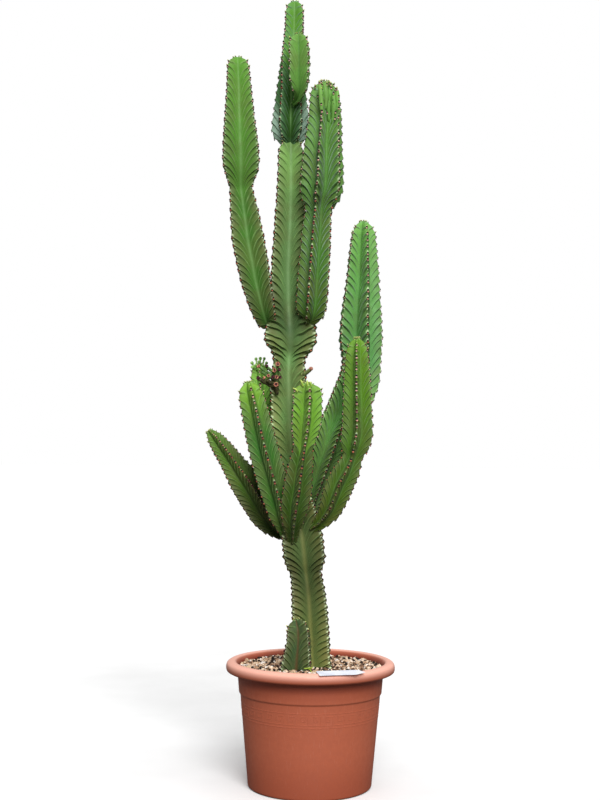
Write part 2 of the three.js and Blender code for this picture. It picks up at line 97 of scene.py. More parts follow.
def smooth(low: float, high: float, values: Array) -> Array:
    """A soft step from 0 at low to 1 at high.

    Args:
        low: where the step starts.
        high: where it ends.
        values: where to read it.

    Returns:
        The step's values.
    """
    share = np.clip((values - low) / (high - low), 0, 1)
    return share * share * (3 - 2 * share)


def unit(vectors: Array) -> Array:
    """Makes vectors one long.

    Args:
        vectors: any array whose last axis holds x, y and z.

    Returns:
        The same directions with length 1.
    """
    return vectors / np.maximum(np.linalg.norm(vectors, axis=-1, keepdims=True), 1e-12)


def sway(places: Array, seed: float) -> Array:
    """A gentle wander between about -1 and 1, the same for the same seed.

    Args:
        places: where to read it; it turns over in about 6 units.
        seed: which wander.

    Returns:
        The wander's values.
    """
    return 0.6 * np.sin(places * 1.07 + seed * 2.3) + 0.4 * np.sin(places * 2.31 + seed * 5.1)


# Meshes

@dataclass
class MeshParts:
    """Points, faces and values per point, gathered for one mesh."""

    points: list[Array] = field(default_factory=list)
    faces: list[Array] = field(default_factory=list)
    values: dict[str, list[Array]] = field(default_factory=dict)
    count: int = 0

    def add(self, points: Array, faces: list[Array], **values: Array | float) -> None:
        """Adds a shell to the mesh.

        Args:
            points: its points in millimetres, one row each.
            faces: arrays of triangles or of quads, as indices into points.
            values: for each name, one number per point or one for all.
        """
        self.points.append(points)
        self.faces += [np.asarray(some) + self.count for some in faces]
        for name, value in values.items():
            spread = np.broadcast_to(np.asarray(value, float), (len(points),))
            self.values.setdefault(name, []).append(spread)
        self.count += len(points)

    def build(self, name: str, material: Material, is_smooth: bool) -> bpy.types.Object:
        """Makes the object.

        Args:
            name: the piece's name.
            material: its finish.
            is_smooth: whether its faces are shaded smooth.

        Returns:
            The new object, in metres, linked to the scene.
        """
        mesh = bpy.data.meshes.new(name)
        points = np.concatenate(self.points) * MM
        corners = np.concatenate([some.ravel() for some in self.faces]).astype(np.int32)
        sizes = np.concatenate([np.full(len(some), some.shape[1]) for some in self.faces])
        mesh.vertices.add(len(points))
        mesh.vertices.foreach_set("co", points.astype(np.float32).ravel())
        mesh.loops.add(len(corners))
        mesh.loops.foreach_set("vertex_index", corners)
        mesh.polygons.add(len(sizes))
        mesh.polygons.foreach_set("loop_start", (np.cumsum(sizes) - sizes).astype(np.int32))
        mesh.polygons.foreach_set("use_smooth", np.full(len(sizes), is_smooth))
        for key, some in self.values.items():
            layer = mesh.attributes.new(key, "FLOAT", "POINT")
            layer.data.foreach_set("value", np.concatenate(some).astype(np.float32))
        mesh.update(calc_edges=True)
        mesh.validate()
        piece = bpy.data.objects.new(name, mesh)
        bpy.context.scene.collection.objects.link(piece)
        piece.data.materials.append(material)
        return piece


def grid_faces(rows: int, columns: int, is_round: bool = True) -> Array:
    """The quads of a grid of points laid row by row.

    Args:
        rows: how many rows of points.
        columns: how many points a row.
        is_round: whether the last column joins the first.

    Returns:
        The quads, with their outer side out where columns turn anticlockwise as rows rise.
    """
    row = np.arange(rows - 1)[:, None]
    column = np.arange(columns if is_round else columns - 1)[None, :]
    after = (column + 1) % columns
    quads = [row * columns + column, row * columns + after,
             (row + 1) * columns + after, (row + 1) * columns + column]
    return np.stack(quads, axis=-1).reshape(-1, 4)


def fan_faces(first: int, columns: int, centre: int, is_top: bool) -> Array:
    """The triangles that close a round row of points to one centre point.

    Args:
        first: index of the row's first point.
        columns: how many points the row has.
        centre: index of the centre point.
        is_top: whether the cap looks along the way rows rise.

    Returns:
        The triangles.
    """
    here = first + np.arange(columns)
    after = first + (np.arange(columns) + 1) % columns
    middle = np.full(columns, centre)
    return np.stack([here, after, middle] if is_top else [after, here, middle], axis=-1)


def angles(sides: int) -> Array:
    """The angles of even steps round a circle, in radians."""
    return np.arange(sides) * 2 * math.pi / sides


def lathe(profile: Array, sides: int) -> tuple[Array, Array]:
    """Turns an outline round the Z axis.

    Args:
        profile: rows of (radius, height) in millimetres, with the outer side on its right.
        sides: how many steps round.

    Returns:
        The points and the quads.
    """
    turn = angles(sides)
    radius, height = profile[:, 0][:, None], profile[:, 1][:, None]
    points = np.stack([radius * np.cos(turn), radius * np.sin(turn), height + 0 * turn], axis=-1)
    return points.reshape(-1, 3), grid_faces(len(profile), sides)


def closed(points: Array, sides: int, low: Array, high: Array) -> Shape:
    """Closes rows of points, each a ring, with one centre point at either end.

    Args:
        points: the rings, one after another.
        sides: how many points a ring has.
        low: the centre point under the first ring.
        high: the centre point over the last ring.

    Returns:
        The points with the two new ones, and the lists of faces.
    """
    count = len(points)
    faces = [grid_faces(count // sides, sides), fan_faces(0, sides, count, False),
             fan_faces(count - sides, sides, count + 1, True)]
    return np.vstack([points, low, high]), faces


def rounded(outline: list[Pair], radius: float, steps: int = 4) -> Array:
    """Rounds the corners of an open outline.

    Args:
        outline: its corner points.
        radius: how far from a corner the rounding starts, at most.
        steps: how many points each corner gets.

    Returns:
        The rounded outline, one row a point.
    """
    corners = np.array(outline, float)
    result = [corners[0]]
    for before, corner, after in zip(corners[:-2], corners[1:-1], corners[2:]):
        back, ahead = before - corner, after - corner
        reach = min(radius, 0.45 * np.linalg.norm(back), 0.45 * np.linalg.norm(ahead))
        start, end = corner + unit(back) * reach, corner + unit(ahead) * reach
        for step in range(steps + 1):
            t = step / steps
            result.append((1 - t) ** 2 * start + 2 * t * (1 - t) * corner + t * t * end)
    result.append(corners[-1])
    return np.array(result)


class CentreLine:
    """A smooth line through points, read by the length along it."""

    def __init__(self, points: Array, samples: int = 40) -> None:
        """Lays the line.

        Args:
            points: the points it passes, in millimetres.
            samples: how many short steps each stretch gets.
        """
        ends = np.vstack([2 * points[0] - points[1], points, 2 * points[-1] - points[-2]])
        places = []
        for i in range(1, len(ends) - 2):
            places.append(self._stretch(ends[i - 1:i + 3], samples))
        self.places = np.vstack([*places, points[-1:]])
        steps = np.linalg.norm(np.diff(self.places, axis=0), axis=1)
        self.marks = np.concatenate([[0], np.cumsum(steps)])
        self.length = float(self.marks[-1])
        self.slopes = unit(np.gradient(self.places, self.marks, axis=0))

    @staticmethod
    def _stretch(four: Array, samples: int) -> Array:
        """One stretch between the two middle points of four, with even tension.

        Args:
            four: the points before the stretch, at its two ends and after it.
            samples: how many short steps it gets.

        Returns:
            Its points, all but the last.
        """
        spans = np.sqrt(np.maximum(np.linalg.norm(np.diff(four, axis=0), axis=1), 1e-9))
        before, middle, after = spans
        a, b, c, d = four
        start = ((b - a) / before - (c - a) / (before + middle) + (c - b) / middle) * middle
        end = ((c - b) / middle - (d - b) / (middle + after) + (d - c) / after) * middle
        t = (np.arange(samples) / samples)[:, None]
        return (b + start * t + (-3 * b + 3 * c - 2 * start - end) * t ** 2
                + (2 * b - 2 * c + start + end) * t ** 3)

    def at(self, marks: Array) -> Array:
        """Points at the given lengths along the line."""
        return self._read(marks, self.places)

    def slope(self, marks: Array) -> Array:
        """Directions at the given lengths along the line."""
        return unit(self._read(marks, self.slopes))

    def _read(self, marks: Array, rows: Array) -> Array:
        """Rows of x, y and z, read at lengths along the line."""
        return np.stack([np.interp(marks, self.marks, rows[:, i]) for i in range(3)], axis=-1)


def tube(points: Array, radii: Array, sides: int = 10) -> Shape:
    """A round tube along points, closed at both ends.

    Args:
        points: its centre line in millimetres.
        radii: its radius at each point.
        sides: how many steps round.

    Returns:
        The points and the lists of faces.
    """
    ahead = unit(np.gradient(points, axis=0))
    guide = FRONT if abs(ahead[0] @ FRONT) < 0.9 else np.array([1.0, 0.0, 0.0])
    front = unit(guide - ahead * (ahead @ guide)[:, None])
    side = np.cross(ahead, front)
    turn = angles(sides)
    ring = (front[:, None] * np.cos(turn)[None, :, None]
            + side[:, None] * np.sin(turn)[None, :, None])
    body = (points[:, None] + ring * radii[:, None, None]).reshape(-1, 3)
    return closed(body, sides, points[0] - ahead[0] * radii[0] * 0.5,
                  points[-1] + ahead[-1] * radii[-1] * 0.5)


def dome(sides: int, rings: tuple[float, ...]) -> Shape:
    """A unit dome round its third axis, open underneath, where it sinks into what carries it.

    Args:
        sides: how many steps round.
        rings: the rings' angles from the top, in degrees, from the lowest ring up.

    Returns:
        The points and the lists of faces.
    """
    turn = angles(sides)
    rows = []
    for angle in rings:
        out, rise = math.sin(math.radians(angle)), math.cos(math.radians(angle))
        rows.append(np.stack([out * np.cos(turn), out * np.sin(turn), rise + 0 * turn], axis=-1))
    points = np.vstack([*rows, [[0, 0, 1]]])
    last = (len(rings) - 1) * sides
    return points, [grid_faces(len(rings), sides), fan_faces(last, sides, len(points) - 1, True)]


def ball(subdivisions: int) -> tuple[Array, Array]:
    """A unit ball of triangles.

    Args:
        subdivisions: 1 for the eight-sided one, and each further one splits every side in four.

    Returns:
        The points and the triangles.
    """
    points = [np.array(p, float) for p in
              ((1, 0, 0), (-1, 0, 0), (0, 1, 0), (0, -1, 0), (0, 0, 1), (0, 0, -1))]
    faces = [(0, 2, 4), (2, 1, 4), (1, 3, 4), (3, 0, 4), (2, 0, 5), (1, 2, 5), (3, 1, 5), (0, 3, 5)]
    for _ in range(subdivisions - 1):
        middles: dict[tuple[int, int], int] = {}

        def middle(a: int, b: int) -> int:
            """Index of the point half way between two points, on the ball.

            Args:
                a: index of the one.
                b: index of the other.

            Returns:
                The index of the new point.
            """
            key = (min(a, b), max(a, b))
            if key not in middles:
                middles[key] = len(points)
                points.append(unit(points[a] + points[b]))
            return middles[key]

        split = []
        for a, b, c in faces:
            ab, bc, ca = middle(a, b), middle(b, c), middle(c, a)
            split += [(a, ab, ca), (b, bc, ab), (c, ca, bc), (ab, bc, ca)]
        faces = split
    return np.array(points), np.array(faces)


def at_height(ring: Array, height: float) -> Array:
    """Lifts a ring of flat points to a height."""
    return np.column_stack([ring, np.full(len(ring), height)])


def aimed(points: Array, way: Array) -> Array:
    """Turns points so that their Z axis looks one way."""
    return points @ np.array(Vector(way).to_track_quat("Z", "Y").to_matrix()).T


def turned(points: Array, *turns: tuple[float, str]) -> Array:
    """Turns points.

    Args:
        points: one row each.
        turns: angles in radians, each with its axis, of which the last is done first.

    Returns:
        The turned points.
    """
    matrix = reduce(lambda product, turn: product @ Matrix.Rotation(turn[0], 3, turn[1]), turns,
                    Matrix.Identity(3))
    return points @ np.array(matrix).T


# Materials

class Sheet:
    """A node tree with short calls for the nodes that the finishes use."""

    def __init__(self, tree: NodeTree) -> None:
        """Keeps the tree that the nodes go into."""
        self.tree = tree

    def put(self, socket: Socket, value: object) -> None:
        """Links a socket to another, or sets its value.

        Args:
            socket: the input.
            value: an output socket, a number, a vector or a colour.
        """
        if isinstance(value, Socket):
            self.tree.links.new(value, socket)
        else:
            socket.default_value = value

    def node(self, kind: str, inputs: dict[str | int, object] | None = None,
             **settings: object) -> Outputs:
        """Adds a node.

        Args:
            kind: the node's type, without the word that they all start with.
            inputs: its inputs by name or place.
            settings: its own settings.

        Returns:
            The node's outputs.
        """
        made = self.tree.nodes.new("ShaderNode" + kind)
        for key, value in settings.items():
            setattr(made, key, value)
        for key, value in (inputs or {}).items():
            self.put(made.inputs[key], value)
        return made.outputs

    def math(self, operation: str, *values: object) -> Socket:
        """A sum on numbers: its result."""
        return self.node("Math", dict(enumerate(values)), operation=operation)[0]

    def times(self, *values: object) -> Socket:
        """The product of two or more values."""
        return reduce(lambda product, value: self.math("MULTIPLY", product, value), values)

    def plus(self, first: object, second: object) -> Socket:
        """The sum of two values."""
        return self.math("ADD", first, second)

    def ramp(self, value: Socket, low: float, high: float, start: float = 0.0,
             end: float = 1.0) -> Socket:
        """A soft step of a value from start at low to end at high."""
        inputs = {"Value": value, "From Min": low, "From Max": high, "To Min": start, "To Max": end}
        return self.node("MapRange", inputs, interpolation_type="SMOOTHSTEP")[0]

    def tint(self, colour: object, tone: object, *shares: object, how: str = "MIX") -> Socket:
        """Lays a tone over a colour.

        Args:
            colour: the colour underneath, as a socket or a screen colour.
            tone: the colour on top, the same way.
            shares: how much of it shows, as values that are multiplied.
            how: the blend's kind.

        Returns:
            The new colour.
        """
        low, high = (linear(some) if isinstance(some, tuple) else some for some in (colour, tone))
        inputs = {0: self.times(*shares), 6: low, 7: high}
        return self.node("Mix", inputs, data_type="RGBA", blend_type=how)[2]

    def noise(self, scale: float, detail: float, place: Socket | None = None,
              roughness: float = 0.55) -> Socket:
        """A noise from 0 to 1 over the object's own place, with this many waves a metre.

        Args:
            scale: its waves a metre.
            detail: how many finer layers it has.
            place: where it is read, if not at the object's own place.
            roughness: how strong the finer layers are.

        Returns:
            The noise, from 0 to 1.
        """
        if place is None:
            place = self.node("TexCoord")["Object"]
        inputs = {"Vector": place, "Scale": scale, "Detail": detail, "Roughness": roughness}
        return self.node("TexNoise", inputs)[0]

    def value(self, name: str) -> Socket:
        """A value that the mesh carries per point."""
        return self.node("Attribute", attribute_name=name, attribute_type="GEOMETRY")["Fac"]

    def bump(self, height: Socket, strength: float, distance: float) -> Socket:
        """A bumped normal from a height."""
        return self.node("Bump", {"Height": height, "Strength": strength, "Distance": distance})[0]


def new_group(name: str, *inputs: str) -> tuple[Sheet, Outputs]:
    """Starts a shader node group.

    Args:
        name: its name.
        inputs: the names of its inputs, all numbers.

    Returns:
        The sheet to draw it on, and what it is given.
    """
    group = bpy.data.node_groups.new(name, "ShaderNodeTree")
    for key in inputs:
        group.interface.new_socket(key, in_out="INPUT", socket_type="NodeSocketFloat")
    return Sheet(group), group.nodes.new("NodeGroupInput").outputs


def close_group(sheet: Sheet, **results: Socket) -> NodeTree:
    """Gives a group its outputs.

    Args:
        sheet: the group's nodes.
        results: what it puts out by name, all numbers.

    Returns:
        The group.
    """
    for key in results:
        sheet.tree.interface.new_socket(key, in_out="OUTPUT", socket_type="NodeSocketFloat")
    out = sheet.tree.nodes.new("NodeGroupOutput")
    for key, socket in results.items():
        sheet.put(out.inputs[key], socket)
    return sheet.tree


class Effects:
    """The node groups that several finishes share, each built once."""

    def __init__(self) -> None:
        """Builds the groups."""
        self._fine_grain = self._draw_grain()
        self._rib_relief = self._draw_relief()

    @staticmethod
    def _draw_grain() -> NodeTree:
        """Fine grain: a mottled tone, scattered specks and a height for the bump.

        Returns:
            The group.
        """
        sheet, given = new_group("fine_grain", "Scale", "Specks")
        place = sheet.node("TexCoord")["Object"]
        broad = sheet.node("TexNoise", {"Vector": place, "Scale": given["Scale"], "Detail": 4.0})[0]
        fine_scale = sheet.times(given["Scale"], 9.0)
        fine = sheet.node("TexNoise", {"Vector": place, "Scale": fine_scale, "Detail": 2.0})[0]
        specks = sheet.math("GREATER_THAN", fine, sheet.math("SUBTRACT", 1.0, given["Specks"]))
        height = sheet.plus(sheet.times(broad, 0.6), sheet.times(fine, 0.4))
        return close_group(sheet, Tone=broad, Specks=specks, Height=height)

    @staticmethod
    def _draw_relief() -> NodeTree:
        """Where a point lies on a ribbed stem: furrow, ridge, margin and centre line masks.

        Returns:
            The group.
        """
        sheet, given = new_group("rib_relief", "Wander")
        share, tooth = sheet.value("share"), sheet.value("tooth")
        wander = sheet.times(sheet.math("SUBTRACT", sheet.noise(60, 2), 0.5), given["Wander"])
        turn = sheet.math("FRACT", sheet.plus(tooth, wander))

        def off(value: Socket, middle: float) -> Socket:
            """How far a value lies from a middle one."""
            return sheet.math("ABSOLUTE", sheet.math("SUBTRACT", value, middle))

        def between(start: float, full: float, fading: float, end: float,
                    value: Socket = turn) -> Socket:
            """A mask that rises from start to full and falls from fading to end."""
            return sheet.times(sheet.ramp(value, start, full), sheet.ramp(value, fading, end, 1, 0))

        off_furrow = off(turn, 0.86)
        soft = sheet.times(sheet.ramp(off_furrow, 0.0, 0.3, 1, 0), 0.55)
        core = sheet.times(sheet.ramp(off_furrow, 0.0, 0.12, 1, 0), 0.75)
        furrow = sheet.times(sheet.math("MAXIMUM", soft, core),
                             between(0.03, 0.1, 0.15, 0.7, share))
        off_ridge = off(sheet.math("FRACT", sheet.plus(turn, 0.53)), 0.5)
        ridge = sheet.times(sheet.ramp(off_ridge, 0.0, 0.17, 1, 0),
                            between(0.03, 0.12, 0.35, 0.86, share))
        crest = sheet.ramp(share, 0.03, 0.12, 1, 0)
        pads = sheet.math("MAXIMUM", between(0.04, 0.12, 0.24, 0.34),
                          between(0.66, 0.72, 0.78, 0.84))
        along = sheet.node("CombineXYZ", {0: sheet.times(tooth, 7.0), 1: sheet.times(share, 2.0),
                                          2: 0.0})[0]
        streaks = sheet.noise(1.6, 3, along, 0.6)
        return close_group(
            sheet, Furrow=furrow, Ridge=ridge, Margin=sheet.ramp(share, 0.05, 0.55, 1, 0),
            Notch=sheet.times(between(0.34, 0.44, 0.6, 0.7), crest), Pad=sheet.times(pads, crest),
            Centre=sheet.ramp(share, 0.66, 1.0), Streaks=streaks,
            Height=sheet.plus(sheet.times(streaks, 0.5), sheet.times(furrow, -0.8)))

    @staticmethod
    def _place(sheet: Sheet, group: NodeTree, **values: float) -> Outputs:
        """Places a group in a finish with its own values.

        Args:
            sheet: the finish's nodes.
            group: the group.
            values: its inputs by name.

        Returns:
            What the group puts out.
        """
        made = sheet.tree.nodes.new("ShaderNodeGroup")
        made.node_tree = group
        for key, value in values.items():
            sheet.put(made.inputs[key], value)
        return made.outputs

    def grain(self, sheet: Sheet, scale: float, specks: float) -> Outputs:
        """Places the fine grain, by its waves a metre and its share of specks."""
        return self._place(sheet, self._fine_grain, Scale=scale, Specks=specks)

    def relief(self, sheet: Sheet, wander: float) -> Outputs:
        """Places the rib masks, with how far their lines wander."""
        return self._place(sheet, self._rib_relief, Wander=wander)


class Finish:
    """A surface finish, drawn for one Principled shader."""

    def build(self, name: str, effects: Effects) -> Material:
        """Makes the material.

        Args:
            name: the material's name.
            effects: the shared groups.

        Returns:
            The material.
        """
        material = bpy.data.materials.new(name)
        material.use_nodes = True
        sheet = Sheet(material.node_tree)
        shader = material.node_tree.nodes["Principled BSDF"]
        for key, value in self.look(sheet, effects).items():
            sheet.put(shader.inputs[key], value)
        return material

    def look(self, sheet: Sheet, effects: Effects) -> dict[str, object]:
        """Draws the finish and says what the shader's inputs are, by name."""
        raise NotImplementedError


@dataclass(frozen=True)
class StemFinish(Finish):
    """Living skin of a stem: its colours by age, what its faces show, and painted light and shade
    on them.
    """

    old: Colour
    mature: Colour
    young: Colour
    margin: Colour = (112, 104, 62)
    # Multiplied in as painted shade in the furrows and in the notches between teeth, and as the
    # skin's darker streaks and mottle.
    furrow: Colour = (118, 134, 84)
    # The tone of a painted highlight along the ridge above each furrow.
    ridge: Colour = (168, 212, 128)
    centre: Colour = (140, 176, 128)
    centre_old: Colour | None = None
    # The tone of a painted highlight on the crests between the teeth.
    pad: Colour = (206, 226, 178)
    # The tone of a painted light on the faces that look sideways.
    flank: Colour = (170, 198, 170)
    flank_share: float = 0.0
    margin_share: float = 0.35
    furrow_shade_share: float = 0.9
    ridge_highlight_share: float = 0.75
    notch_shade_share: float = 0.8
    centre_share: float = 0.4
    pad_highlight_share: float = 0.9
    pad_highlight_old: float = 0.9

    def look(self, sheet: Sheet, effects: Effects) -> dict[str, object]:
        """Lays the marks of age, the ribs' marks, painted light and shade and the grain over one
        another.

        Args:
            sheet: the material's nodes.
            effects: the shared groups.

        Returns:
            The shader's inputs by name.
        """
        relief = effects.relief(sheet, 0.1)
        grain = effects.grain(sheet, 70.0, 0.3)
        age = sheet.value("age")
        colour = sheet.tint(self.old, self.mature, sheet.ramp(age, 0.0, 0.5))
        colour = sheet.tint(colour, self.young, sheet.ramp(age, 0.5, 1.0))
        colour = sheet.tint(colour, self.margin, sheet.ramp(sheet.noise(22, 3), 0.42, 0.68), 0.3)
        fading = sheet.ramp(age, 0.4, 1.0, 1.0, 0.25)
        colour = sheet.tint(colour, self.margin, relief["Margin"], fading, self.margin_share)
        centre = sheet.tint(self.centre_old or self.centre, self.centre,
                            sheet.ramp(age, 0.15, 0.45))
        colour = sheet.tint(colour, centre, relief["Centre"], self.centre_share)
        # Painted light: the faces that look sideways are lightened, most on old skin.
        side = sheet.ramp(sheet.value("flank"), 0.62, 0.8)
        colour = sheet.tint(colour, self.flank, side, sheet.ramp(age, 0.1, 0.45, 1.0, 0.0),
                            self.flank_share)
        # Painted highlight: a lighter line along the ridges, where they catch the light.
        ridge = sheet.times(relief["Ridge"], sheet.ramp(relief["Streaks"], 0.3, 0.6))
        colour = sheet.tint(colour, self.ridge, ridge, sheet.ramp(age, 0.05, 0.45, 0.4, 1.0),
                            self.ridge_highlight_share)
        # Painted shade: the furrows and the notches between teeth are darkened with the furrow
        # tone.
        deep = sheet.times(sheet.ramp(age, 0.55, 1.0, 1.0, 0.6), self.furrow_shade_share)
        dark = sheet.math("MAXIMUM", sheet.times(relief["Furrow"], deep),
                          sheet.times(relief["Notch"], self.notch_shade_share))
        colour = sheet.tint(colour, self.furrow, dark, how="MULTIPLY")
        # Painted highlight: the crests between the teeth are lightened, by age.
        pad_highlight_by_age = sheet.ramp(age, 0.3, 0.7, self.pad_highlight_old, self.pad_highlight_share)
        colour = sheet.tint(colour, self.pad, relief["Pad"], pad_highlight_by_age)
        mottle = sheet.times(sheet.ramp(grain["Tone"], 0.3, 0.7), 0.12)
        shade = sheet.plus(sheet.times(relief["Streaks"], 0.22), mottle)
        colour = sheet.tint(colour, self.furrow, shade, how="MULTIPLY")
        # Painted light and shade: the colour is scaled by the mesh's brightness factor by height.
        painted_light_inputs = {0: colour, "Scale": sheet.value("bloom")}
        height = sheet.plus(relief["Height"], sheet.times(grain["Height"], 0.3))
        return {"Base Color": sheet.node("VectorMath", painted_light_inputs, operation="SCALE")[0],
                "Roughness": sheet.ramp(grain["Tone"], 0.25, 0.75, 0.42, 0.62),
                "Normal": sheet.bump(height, 0.45, 0.0012),
                "Specular IOR Level": 0.22, "Sheen Weight": 0.03, "Sheen Roughness": 0.5}


@dataclass(frozen=True)
class ToothFinish(Finish):
    """Horny shields, leaf scars, spines and tip leaves, told apart by the mesh's own values."""

    shield: Colour = (24, 8, 18)
    shield_light: Colour = (84, 26, 30)
    scar_oldest: Colour = (126, 128, 84)
    scar_old: Colour = (198, 112, 82)
    scar_young: Colour = (236, 186, 170)
    leaf: Colour = (196, 206, 96)
    leaf_tip: Colour = (226, 226, 150)

    def look(self, sheet: Sheet, effects: Effects) -> dict[str, object]:
        """Picks each shell's tones by its kind, its age and its own draw.

        Args:
            sheet: the material's nodes.
            effects: the shared groups.

        Returns:
            The shader's inputs by name.
        """
        grain = effects.grain(sheet, 420.0, 0.3)
        kind, age, draw = sheet.value("kind"), sheet.value("age"), sheet.value("draw")
        shield = sheet.tint(self.shield, self.shield_light, sheet.ramp(draw, 0.45, 1.0))
        scar = sheet.tint(self.scar_oldest, self.scar_old, sheet.ramp(age, 0.12, 0.3))
        scar = sheet.tint(scar, self.scar_young, sheet.ramp(age, 0.5, 0.9))
        scar = sheet.tint(scar, self.shield_light, sheet.ramp(draw, 0.4, 1.0, 0.0, 0.6))
        leaf = sheet.tint(self.leaf, self.leaf_tip, draw)
        colour = sheet.tint(shield, scar, sheet.math("GREATER_THAN", kind, 0.5))
        colour = sheet.tint(colour, leaf, sheet.math("GREATER_THAN", kind, 1.5))
        mottle = sheet.ramp(grain["Tone"], 0.35, 0.7, 0.0, 0.45)
        return {"Base Color": sheet.tint(colour, self.shield, mottle, how="MULTIPLY"),
                "Roughness": sheet.ramp(grain["Tone"], 0.3, 0.7, 0.4, 0.65),
                "Normal": sheet.bump(grain["Height"], 0.3, 0.0004), "Specular IOR Level": 0.4}


@dataclass(frozen=True)
class PotFinish(Finish):
    """Terracotta-coloured moulded plastic, a little scuffed, with painted light and shade."""

    body: Colour = (181, 96, 68)
    # A darker tone of the plastic, for its mottle and for painted shade under the rim and towards
    # the foot.
    deep: Colour = (150, 69, 45)
    # A dark tone for painted shade on the inside wall.
    inside: Colour = (132, 54, 34)
    # A pale tone for the scuffs and for the painted highlight on the rim's top.
    scuff_and_rim_highlight: Colour = (254, 192, 172)
    speck: Colour = (240, 205, 190)
    # Where the painted highlight on the rim's top goes, by height and by radius.
    rim: Pair = (0.229, 0.2475)
    rim_highlight_reach: Pair = (0.1475, 0.153)
    # Where the painted shade on the inside wall goes, by height and by radius.
    wall: Pair = (0.2, 0.22)
    inner_wall_shade_reach: Pair = (0.1447, 0.148)
    # From this height up the plastic is darkened: painted shade under the rim.
    collar: Pair = (0.184, 0.2)
    # Below this height the plastic is darkened towards the bottom: painted shade.
    foot: Pair = (0.0, 0.1)

    def look(self, sheet: Sheet, effects: Effects) -> dict[str, object]:
        """Paints light and shade on the plastic by height and by distance from the axis, both in
        metres.

        Args:
            sheet: the material's nodes.
            effects: the shared groups.

        Returns:
            The shader's inputs by name.
        """
        grain = effects.grain(sheet, 90.0, 0.25)
        place = sheet.node("TexCoord")["Object"]
        x, y, z = sheet.node("SeparateXYZ", {0: place})
        flat = sheet.node("CombineXYZ", {0: x, 1: y})[0]
        radius = sheet.node("VectorMath", {0: flat}, operation="LENGTH")["Value"]
        drawn = sheet.node("Mapping", {"Vector": place, "Scale": (1.0, 1.0, 0.06)})[0]
        scratches = sheet.ramp(sheet.noise(420, 2, drawn), 0.6, 0.72)
        rim_highlight = sheet.times(sheet.ramp(z, *self.rim), sheet.ramp(radius, *self.rim_highlight_reach))
        inner_wall_shade = sheet.times(sheet.ramp(z, *self.wall), sheet.ramp(radius, *self.inner_wall_shade_reach, 1, 0))
        colour = sheet.tint(self.body, self.deep, sheet.ramp(grain["Tone"], 0.3, 0.72, 0.0, 0.16))
        colour = sheet.tint(colour, self.scuff_and_rim_highlight, scratches, 0.06)
        # Painted shade: darker from the collar up, under the rim.
        colour = sheet.tint(colour, self.deep, sheet.ramp(z, *self.collar), 0.35)
        # Painted highlight: the top of the rim is lightened.
        colour = sheet.tint(colour, self.scuff_and_rim_highlight, rim_highlight, 0.82)
        # Painted shade: the inside wall is darkened.
        colour = sheet.tint(colour, self.inside, inner_wall_shade)
        # Painted shade: darker towards the foot.
        colour = sheet.tint(colour, self.deep, sheet.ramp(z, *self.foot, 0.6, 0.0))
        height = sheet.plus(grain["Height"], sheet.times(scratches, 0.4))
        return {"Base Color": sheet.tint(colour, self.speck, grain["Specks"], 0.25),
                "Roughness": sheet.ramp(grain["Tone"], 0.25, 0.75, 0.42, 0.6),
                "Normal": sheet.bump(height, 0.12, 0.0008), "Specular IOR Level": 0.45}


@dataclass(frozen=True)
class StoneFinish(Finish):
    """Grains of a coarse mix, each with its own tone between several stones and barks."""

    tones: tuple[tuple[float, Colour], ...]
    darkest: Colour = (40, 30, 24)

    def look(self, sheet: Sheet, effects: Effects) -> dict[str, object]:
        """Picks a grain's tone by its own draw, and mottles it.

        Args:
            sheet: the material's nodes.
            effects: the shared groups.

        Returns:
            The shader's inputs by name.
        """
        grain = effects.grain(sheet, 300.0, 0.34)
        ramp = sheet.tree.nodes.new("ShaderNodeValToRGB")
        sheet.put(ramp.inputs[0], sheet.value("draw"))
        stops = ramp.color_ramp.elements
        ramp.color_ramp.interpolation = "CONSTANT"
        while len(stops) < len(self.tones):
            stops.new(0.5)
        for stop, (place, tone) in zip(stops, self.tones):
            stop.position = place
            stop.color = linear(tone)
        mottle = sheet.ramp(grain["Tone"], 0.35, 0.7, 0.0, 0.5)
        return {"Base Color": sheet.tint(ramp.outputs[0], self.darkest, mottle, how="MULTIPLY"),
                "Roughness": sheet.ramp(grain["Tone"], 0.3, 0.7, 0.75, 0.95),
                "Normal": sheet.bump(grain["Height"], 0.6, 0.0008), "Specular IOR Level": 0.25}


@dataclass(frozen=True)
class SoftFinish(Finish):
    """A small plant part or plain piece in two tones with a fine grain."""

    light: Colour
    dark: Colour
    roughness: float
    scale: float
    bump: float = 0.3

    def look(self, sheet: Sheet, effects: Effects) -> dict[str, object]:
        """Mixes the two tones by the grain.

        Args:
            sheet: the material's nodes.
            effects: the shared groups.

        Returns:
            The shader's inputs by name.
        """
        grain = effects.grain(sheet, self.scale, 0.32)
        colour = sheet.tint(self.light, self.dark, sheet.ramp(grain["Tone"], 0.35, 0.68))
        low, high = self.roughness - 0.08, self.roughness + 0.08
        return {"Base Color": sheet.tint(colour, self.dark, grain["Specks"], 0.3),
                "Roughness": sheet.ramp(grain["Tone"], 0.3, 0.7, low, high),
                "Normal": sheet.bump(grain["Height"], self.bump, 0.0005), "Specular IOR Level": 0.4}


@dataclass(frozen=True)
class PaperFinish(Finish):
    """White studio paper that throws back less light than it shows."""

    seen: Colour = (250, 250, 250)
    thrown: Colour = (104, 102, 100)

    def look(self, sheet: Sheet, effects: Effects) -> dict[str, object]:
        """Shows one tone to the camera and another to the light.

        Args:
            sheet: the material's nodes.
            effects: the shared groups.

        Returns:
            The shader's inputs by name.
        """
        grain = effects.grain(sheet, 3.0, 0.3)
        tone = sheet.tint(self.seen, self.thrown, sheet.ramp(grain["Tone"], 0.2, 0.8, 0.0, 0.1))
        seen = sheet.node("LightPath")["Is Camera Ray"]
        return {"Base Color": sheet.tint(self.thrown, tone, seen), "Roughness": 0.9,
                "Specular IOR Level": 0.0}


# Stems

